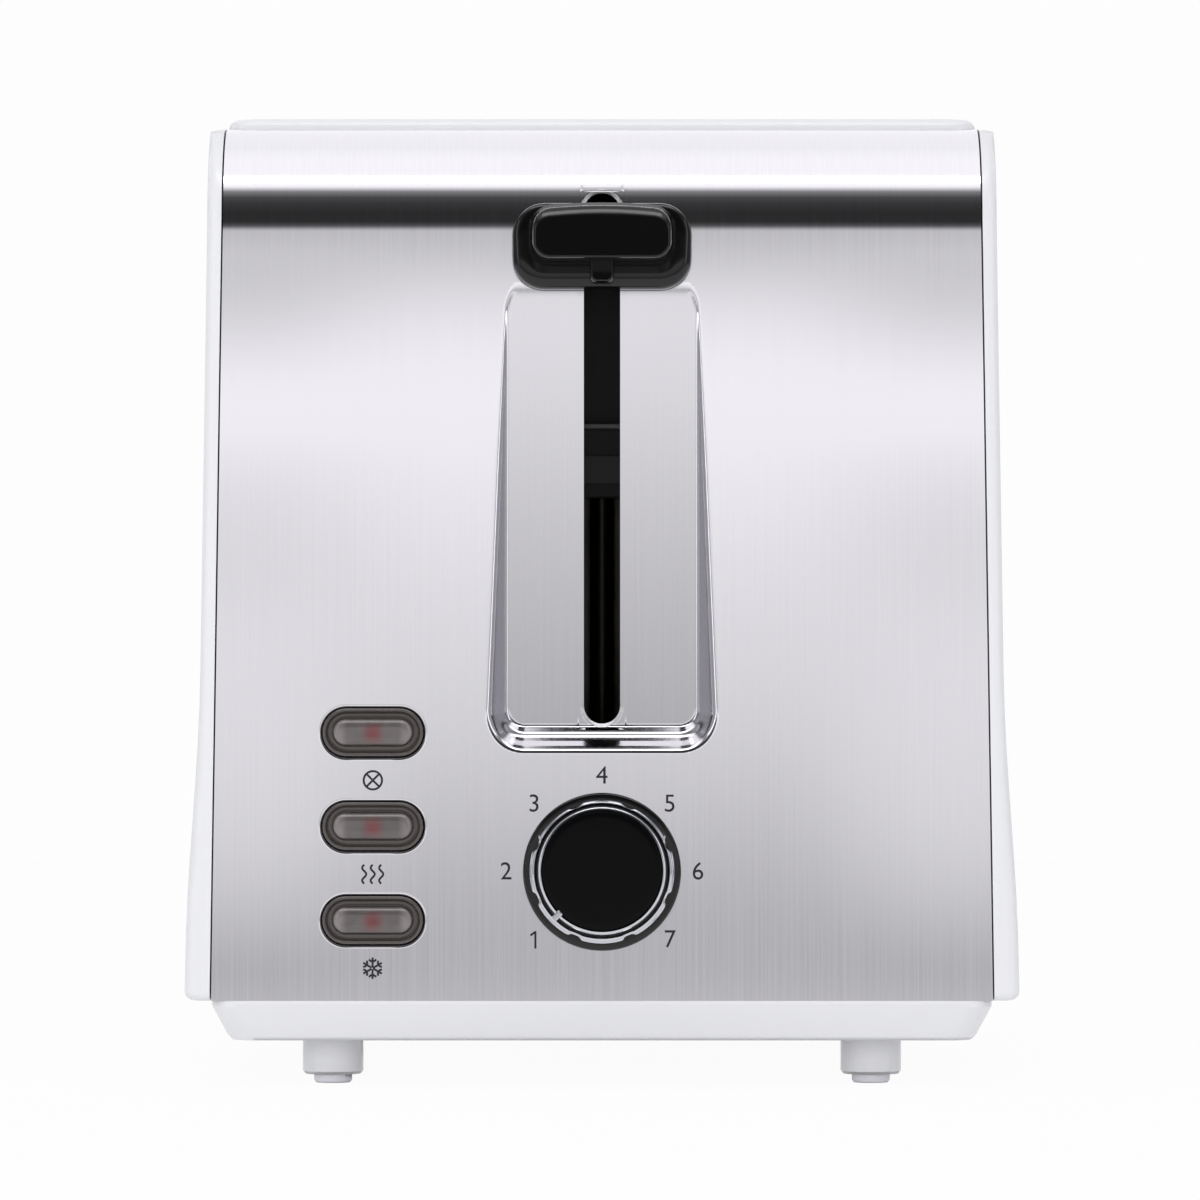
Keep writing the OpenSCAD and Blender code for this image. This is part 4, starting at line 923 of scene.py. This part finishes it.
# %% Turned pieces
def spun(profile, steps=96, closed=False):
    """A turned piece round the Y axis from a profile of radius and depth."""
    bm = bmesh.new()
    points = [bm.verts.new((radius * MM, depth * MM, 0)) for radius, depth in profile]
    pairs = list(zip(points, points[1:])) + ([(points[-1], points[0])] if closed else [])
    lines = [bm.edges.new(pair) for pair in pairs]
    bmesh.ops.spin(bm, geom=points + lines, cent=(0, 0, 0), axis=(0, 1, 0), angle=math.tau, steps=steps,
                   use_merge=True)
    bmesh.ops.remove_doubles(bm, verts=bm.verts, dist=0.001 * MM)
    bmesh.ops.recalc_face_normals(bm, faces=bm.faces)
    return bm


DIAL_RADIUS, DIAL_HEIGHT, POINTER = 15.8, 12, math.radians(-135)
SCALLOPS, SCALLOP_DEPTH, FINGER = 8, 0.55, 2.8
ON_DIAL = FACE @ Matrix.Translation((dial_spot.x, 0, dial_spot.z)) @ Matrix.Rotation(POINTER, 4, "Y")
rim, cap_edge, top = DIAL_RADIUS - 1.35, DIAL_RADIUS - 3.75, -DIAL_HEIGHT


def on_dial(bm, name, slot, node=None, crisp=50, material=None):
    """Set a piece on the dial, turned to where the pointer stands."""
    bmesh.ops.transform(bm, matrix=ON_DIAL, verts=bm.verts)
    piece = dress(name, bm, slot, "browning_dial", crisp, material)
    if node:
        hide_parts(node)


print("dial:", 2 * DIAL_RADIUS, "mm across")

# %% [markdown]
# ### Skirt and scalloped ring
# A finger's circle reaches over the rim between two ridges. The share of the cut fades inwards,
# so the scallops stay on the rim and the ring's inner edge stays round.

# %% Skirt and ring
skirt = spun([(3.1, -0.7), (15.2, -0.7), (15.6, -0.85), (15.8, -1.2), (15.8, -2.5), (15.65, -2.85),
              (15.3, -3), (14, -3), (14, -4), (13.3, -4), (13.3, top + 1.3), (3.1, top + 1.3)], closed=True)
on_dial(skirt, "dial_skirt", "black_gloss", "dial_knob")

edge = ((0, 3.4), (0.07, 2.5), (0.2, 1.6), (0.38, 0.85), (0.58, 0.3), (0.74, 0.06), (0.86, 0.03),
        (0.98, 0.2), (1.08, 0.6))
chrome = spun([(13, -3), (rim, -3)] + [(rim - inwards, top + under) for inwards, under in edge]
              + [(13, top + 1.2)], steps=192, closed=True)
reach = rim + FINGER - SCALLOP_DEPTH
for vert in chrome.verts:
    radius = math.hypot(vert.co.x, vert.co.z) / MM
    turn = math.atan2(vert.co.x, vert.co.z) % (math.tau / SCALLOPS) - math.pi / SCALLOPS
    inside = FINGER ** 2 - (reach * math.sin(turn)) ** 2
    share = soft_step(radius, rim - 1.2, rim - 0.25)
    if inside > 0 and share > 0:
        over = max(0, rim - (reach * math.cos(turn) - math.sqrt(inside)))
        factor = 1 - share * SCALLOP_DEPTH * soft_step(over, 0, SCALLOP_DEPTH) / radius
        vert.co.x *= factor
        vert.co.z *= factor
on_dial(chrome, "scalloped_ring", "chrome_trim", "dial_ring", crisp=60)
print("scallops:", SCALLOPS, "of", SCALLOP_DEPTH, "mm")

# %% [markdown]
# ### Bezel, cap and pointer
# Inside the ring a thin bright bezel holds the black cap, and a small raised bar across it shows
# which number the dial stands at.

# %% Bezel, cap and pointer
edge = ((-0.1, 1.3), (0.74, 1.3), (0.74, 0.75), (0.68, 0.5), (0.48, 0.3), (0.14, 0.27), (0.02, 0.42),
        (-0.02, 0.6), (-0.1, 0.8))
bezel = spun([(cap_edge + outwards, top + under) for outwards, under in edge], steps=128, closed=True)
on_dial(bezel, "dial_bezel", "chrome_trim")

edge = ((1.6, 0.44), (0.7, 0.52), (0.2, 0.66), (0.05, 0.85), (0.05, 1.3))
cap = spun([(0, top + 0.32), (6, top + 0.35)]
           + [(cap_edge - inwards, top + under) for inwards, under in edge] + [(0, top + 1.3)])
on_dial(cap, "dial_disc", "black_gloss", "dial_cap", material=finish["dial_black"])

mark = bmesh.new()
ring_loft(mark, [(1.4, 2.2, 0.3, top + 1.2), (1.4, 2.2, 0.3, top + 0.4), (1.1, 1.9, 0.25, top + 0.15),
                 (0.8, 1.6, 0.2, top + 0.1)], 0, (cap_edge + 0.55) * MM)
on_dial(mark, "dial_pointer", "chrome_trim")
print("cap:", 2 * cap_edge, "mm across")

# %% [markdown]
# ## The keys
# A key is a stepped cap of smoked plastic with a paler lens in the middle, behind which its small
# lamp glows when the key is on. The steps are rings of one loft, each so much narrower than the
# key. The lens is a piece of its own, so that it can have a material with the red of its lamp.


# %% Keys
def lens_material(key):
    """Smoked lens with a soft square of red over its lamp."""
    fed = {"Base Color": "Color", "Emission Color": "Glow", "Normal": "Normal"}
    return new_material(key + "_lens", lamp_glow, {"Centre": middle(key + "_button")}, fed, Roughness=0.3,
                        Coat_Weight=0.7, Coat_Roughness=0.08, Emission_Strength=0.07)


def key_loft(spot, width, height, steps):
    """A stepped cap with round ends on the face."""
    bm = bmesh.new()
    rings = [(width - w, height - w, (height - w) / 2, depth) for w, depth in steps]
    ring_loft(bm, rings, spot.x, spot.z)
    bmesh.ops.transform(bm, matrix=FACE, verts=bm.verts)
    return bm


CAP_STEPS = ((0, 1.2), (0, -0.3), (0.12, -0.5), (0.35, -0.64), (0.8, -0.7), (1.15, -0.66), (1.4, -0.45),
             (1.65, 0.0), (1.9, 0.3), (2.3, 0.4), (3.6, 0.4), (4.2, 0.2), (4.5, -0.6), (4.6, -0.9))
LENS_STEPS = ((0, 0.3), (0, -1.0), (0.15, -1.3), (0.4, -1.5), (0.8, -1.66), (1.4, -1.8), (2.0, -1.91),
              (2.8, -1.98), (3.6, -2.0))
for key, spot in key_spots.items():
    key_cap = dress(key + "_key_cap", key_loft(spot, 20.2, 9.6, CAP_STEPS), "smoked_plastic", key + "_key")
    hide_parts(key + "_button")
    dress(key + "_key_lens", key_loft(spot, 15.8, 5.2, LENS_STEPS), "smoked_plastic", key + "_key",
          material=lens_material(key))
    print("key:", key)

# %% [markdown]
# ## Ink on the face
# All marks are printed on the steel, so each is a flat shape that lies a hair in front of the
# face. A mark is drawn in a small drawing of its own and then laid at its spot. Strokes are thin
# grids, one row high, whose points follow a line that may sway.

# %% Ink strokes
STROKE = 0.42 * MM


def strip(bm, start, end, bends=1, sway=0.0):
    """A flat stroke from start to end, which may sway from side to side."""
    made = bmesh.ops.create_grid(bm, x_segments=16, y_segments=1, size=0.5)
    start, end = Vector(start) * MM, Vector(end) * MM
    along = (end - start).normalized()
    aside = Vector((-along.y, along.x))
    for vert in made["verts"]:
        t, swing = vert.co.x + 0.5, math.tau * bends * (vert.co.x + 0.5)
        spot = start + (end - start) * t + aside * sway * MM * math.sin(swing)
        heading = (end - start) + aside * sway * MM * math.tau * bends * math.cos(swing)
        spot += Vector((-heading.y, heading.x)).normalized() * vert.co.y * STROKE
        vert.co = Vector((spot.x, 0, spot.y))


def print_on_face(bm, x, z, name):
    """Lay a flat drawing on the face as ink."""
    bmesh.ops.transform(bm, matrix=FACE @ Matrix.Translation((x, -0.03 * MM, z)), verts=bm.verts)
    face_outwards(bm, -1)
    add_piece(name, bm, "black_matte", material=finish["ink"])


print("ink strokes:", STROKE / MM, "mm wide")

# %% [markdown]
# ## Printed numbers
# Seven numbers stand round the dial, 45 degrees apart. Each is a flat text turned into a mesh,
# but for the one, which is two strokes: the plain font draws it as a bare line without its flag.

# %% Numbers
NUMBER_RING = 19.2 * MM


def number(text):
    """A number drawn in X and Z about its middle."""
    curve = bpy.data.curves.new("number", "FONT")
    curve.body = text
    curve.size = 5 * MM
    curve.align_x = "CENTER"
    curve.align_y = "CENTER"
    drawn = in_scene("number", curve)
    bm = bmesh.new()
    bm.from_mesh(bpy.data.meshes.new_from_object(drawn))
    bpy.data.objects.remove(drawn)
    bmesh.ops.rotate(bm, matrix=Matrix.Rotation(math.pi / 2, 3, "X"), verts=bm.verts)
    return bm


one = bmesh.new()
strip(one, (0.25, -1.75), (0.25, 1.75))
strip(one, (0.1, 1.5), (-0.75, 0.85))
for i in range(7):
    turn = POINTER + math.radians(45 * i)
    print_on_face(number(str(i + 1)) if i else one, dial_spot.x + NUMBER_RING * math.sin(turn),
                  dial_spot.z + NUMBER_RING * math.cos(turn), "printed_" + str(i + 1))
print("numbers: 1 to 7, on a ring", round(2 * NUMBER_RING / MM, 1), "mm across")

# %% [markdown]
# ## Key marks
# Under each key stands a plain mark for what it does: a crossed ring to cancel, three waves of
# heat to reheat and a snow crystal to defrost. Each is drawn flat from circles and strokes.


# %% Key marks
def key_mark(key, bm):
    """Print a mark under its key."""
    print_on_face(bm, key_spots[key].x, key_spots[key].z - 9.6 * MM, key + "_key_mark")
    print("mark:", key)


cross = spun([(1.62, 0), (2.04, 0)], steps=64)
strip(cross, (-1.14, -1.14), (1.14, 1.14))
strip(cross, (-1.14, 1.14), (-0.16, 0.16))
strip(cross, (0.16, -0.16), (1.14, -1.14))
key_mark("cancel", cross)

heat = bmesh.new()
for x in (-1.7, 0, 1.7):
    strip(heat, (x, -1.9), (x, 1.9), bends=1.5, sway=0.42)
key_mark("reheat", heat)

crystal = bmesh.new()
for i in range(6):
    turn = math.radians(60 * i + 30)
    arm = Vector((math.cos(turn), math.sin(turn)))
    strip(crystal, arm * (0.22 if i else 0), arm * 2.15)
    for side in (-1, 1):
        twig = Vector((math.cos(turn + side * 0.9), math.sin(turn + side * 0.9)))
        strip(crystal, arm * 1.15 + twig * 0.25, arm * 1.15 + twig * 0.95)
key_mark("defrost", crystal)

# %% [markdown]
# ## Studio
# Steel shows what it faces, so the world is drawn for the reflections: grey towards the floor,
# pale in front, one dark band above and white overhead. A ramp gives the tone for each elevation,
# and a few soft patches lie over it at the sides and in front. Light that isn't mirrored comes
# from an even grey, and the camera itself sees plain white.

# %% World
RAMP_LOW, RAMP_HIGH = -0.06, 0.8
STUDIO_TONES = (
    (-3, 0.4), (-1.6, 0.45), (-0.64, 0.55), (0.6, 0.71), (1.2, 0.82), (2.15, 0.99), (3.2, 0.5), (3.6, 0.5),
    (4.1, 0.6), (4.7, 0.73), (5.3, 0.835), (5.9, 0.88), (6.3, 0.955), (6.7, 1.01), (7.0, 1.065),
    (7.3, 1.127), (7.6, 1.15), (7.9, 1.1), (8.15, 0.98), (8.45, 0.71), (8.7, 0.52), (9.7, 0.28),
    (10.8, 0.075), (12.5, 0.028), (20, 0.026), (30, 0.042), (37.3, 0.075), (44, 0.25), (47.2, 0.7),
    (50.2, 1.16))


def tone_by_elevation(tree, upwards):
    """The studio's tone for each elevation in degrees."""
    height = add_node(tree, "MapRange", {"Value": upwards, "From Min": RAMP_LOW, "From Max": RAMP_HIGH})
    ramp = add_node(tree, "ValToRGB", {0: height.outputs[0]})
    elements = ramp.color_ramp.elements
    for angle, value in STUDIO_TONES:
        where = (math.sin(math.radians(angle)) - RAMP_LOW) / (RAMP_HIGH - RAMP_LOW)
        elements.new(where).color = (value, value, value, 1)
    elements.remove(elements[0])
    elements.remove(elements[-1])
    return ramp.outputs["Color"]


def make_world():
    """Draw the studio for glossy rays, an even grey for the others and white for the camera."""
    world = bpy.data.worlds.new("studio")
    bpy.context.scene.world = world
    world.use_nodes = True
    tree = world.node_tree
    direction = add_node(tree, "TexCoord").outputs["Generated"]
    split = add_node(tree, "SeparateXYZ", {0: direction}).outputs
    x, y, z = maths(tree, "ABSOLUTE", split["X"]), split["Y"], split["Z"]

    def band(value, *edges):
        """One inside soft edges and nothing outside them."""
        return product(tree, *(soft_range(tree, value, start, end, 0, 1) if start < end
                               else soft_range(tree, value, end, start, 1, 0)
                               for start, end in zip(edges[::2], edges[1::2])))

    room = tone_by_elevation(tree, z)
    for tone, *bands in (
            ((1.12, 1.12, 1.13), band(y, -0.05, 0.1), band(z, 0.14, 0.2)),
            ((1.07, 1.07, 1.08), band(y, 0.12, 0.3), band(z, 0.14, 0.2)),
            ((0.34, 0.34, 0.35), band(x, 0.3, 0.6), band(z, 0.75, 0.6)),
            ((1.7, 1.7, 1.75), band(x, 0.62, 0.66, 0.80, 0.76), band(z, -0.05, 0.0, 0.6, 0.5)),
            ((5, 5, 5.1), band(z, 0.80, 0.83, 0.9, 0.87), band(y, -0.2, -0.3), band(x, 0.45, 0.35))):
        room = mixed(tree, product(tree, *bands), room, (*tone, 1))
    path = add_node(tree, "LightPath").outputs
    lit = mixed(tree, path["Is Glossy Ray"], (0.585, 0.59, 0.605, 1), room)
    seen = mixed(tree, path["Is Camera Ray"], lit, (0.985, 0.985, 0.985, 1))
    set_inputs(tree, tree.nodes["Background"], {"Color": seen})


make_world()
print("world:", len(STUDIO_TONES), "tones by elevation")

# %% [markdown]
# ## Lamps
# One broad soft lamp hangs overhead, and weaker ones fill the front and the sides, so that the
# white shells get a soft fall of light. No lamp shows in the steel, which mirrors the world alone.


# %% Lamps
def area_lamp(name, spot, target, size, power):
    """A soft rectangle of light that faces a target."""
    lamp = bpy.data.lights.new(name, "AREA")
    lamp.shape = "RECTANGLE"
    lamp.size, lamp.size_y = size
    lamp.energy = power
    holder = in_scene(name, lamp)
    holder.location = spot
    holder.rotation_euler = (Vector(target) - Vector(spot)).to_track_quat("-Z", "Y").to_euler()
    holder.visible_glossy = False
    print("lamp:", name, power, "W")


area_lamp("overhead", (0, -0.3, 1.3), (0, 0, 0.1), (1.4, 1.4), 3.4)
area_lamp("front_fill", (-0.3, -1.5, 0.22), (0, 0, 0.03), (1.6, 0.4), 6.0)
area_lamp("left_fill", (-1.2, -0.5, 0.3), (0, 0, 0.08), (0.8, 0.5), 0.95)
area_lamp("right_fill", (1.2, -0.5, 0.3), (0, 0, 0.08), (0.8, 0.5), 1.1)

# %% [markdown]
# ## Floor
# The toaster stands on a pale floor. Rays from the camera, mirrored rays and rays through plastic
# see it nearly all as plain white light, so it joins the white behind it and keeps only a faint
# shadow. All other rays meet it as a dull white surface.

# %% Floor
PLAIN_SHARE = 0.95
floor_material = bpy.data.materials.new("floor_white")
floor_material.use_nodes = True
tree = floor_material.node_tree
dull = tree.nodes["Principled BSDF"]
set_inputs(tree, dull, {"Base Color": (0.95, 0.95, 0.95, 1), "Roughness": 0.9, "Specular IOR Level": 0})
ray = add_node(tree, "LightPath").outputs
plainly = maths(tree, "MAXIMUM", maths(tree, "MAXIMUM", ray["Is Camera Ray"], ray["Is Glossy Ray"]),
                ray["Is Transmission Ray"])
surface = add_node(tree, "MixShader", {0: maths(tree, "MULTIPLY", plainly, PLAIN_SHARE), 1: dull.outputs[0],
                                       2: add_node(tree, "Emission").outputs[0]})
set_inputs(tree, tree.nodes["Material Output"], {"Surface": surface.outputs[0]})
sweep = bmesh.new()
bmesh.ops.create_grid(sweep, x_segments=1, y_segments=1, size=1.3)
floor = add_piece("floor", sweep, body=None, material=floor_material)
print("floor: 2.6 m wide")

# %% [markdown]
# ## Camera
# The camera is level and looks straight at the controls from far away through a long lens, so
# that upright lines stay upright and there is hardly any perspective.

# %% Camera
DISTANCE, FRAME_WIDTH, CAMERA_HEIGHT = 1.6, 0.24, 80.2 * MM
camera = bpy.data.cameras.new("camera")
camera.sensor_width = 36
camera.lens = camera.sensor_width * DISTANCE / FRAME_WIDTH
camera.clip_start, camera.clip_end = 0.05, 50
view = in_scene("camera", camera)
view.location = (-0.4 * MM, y_front - DISTANCE, z_foot + CAMERA_HEIGHT)
view.rotation_euler = (math.pi / 2, 0, 0)
bpy.context.scene.camera = view
bpy.context.scene.view_settings.view_transform = "Standard"
print("camera:", round(camera.lens), "mm lens at", DISTANCE, "m")
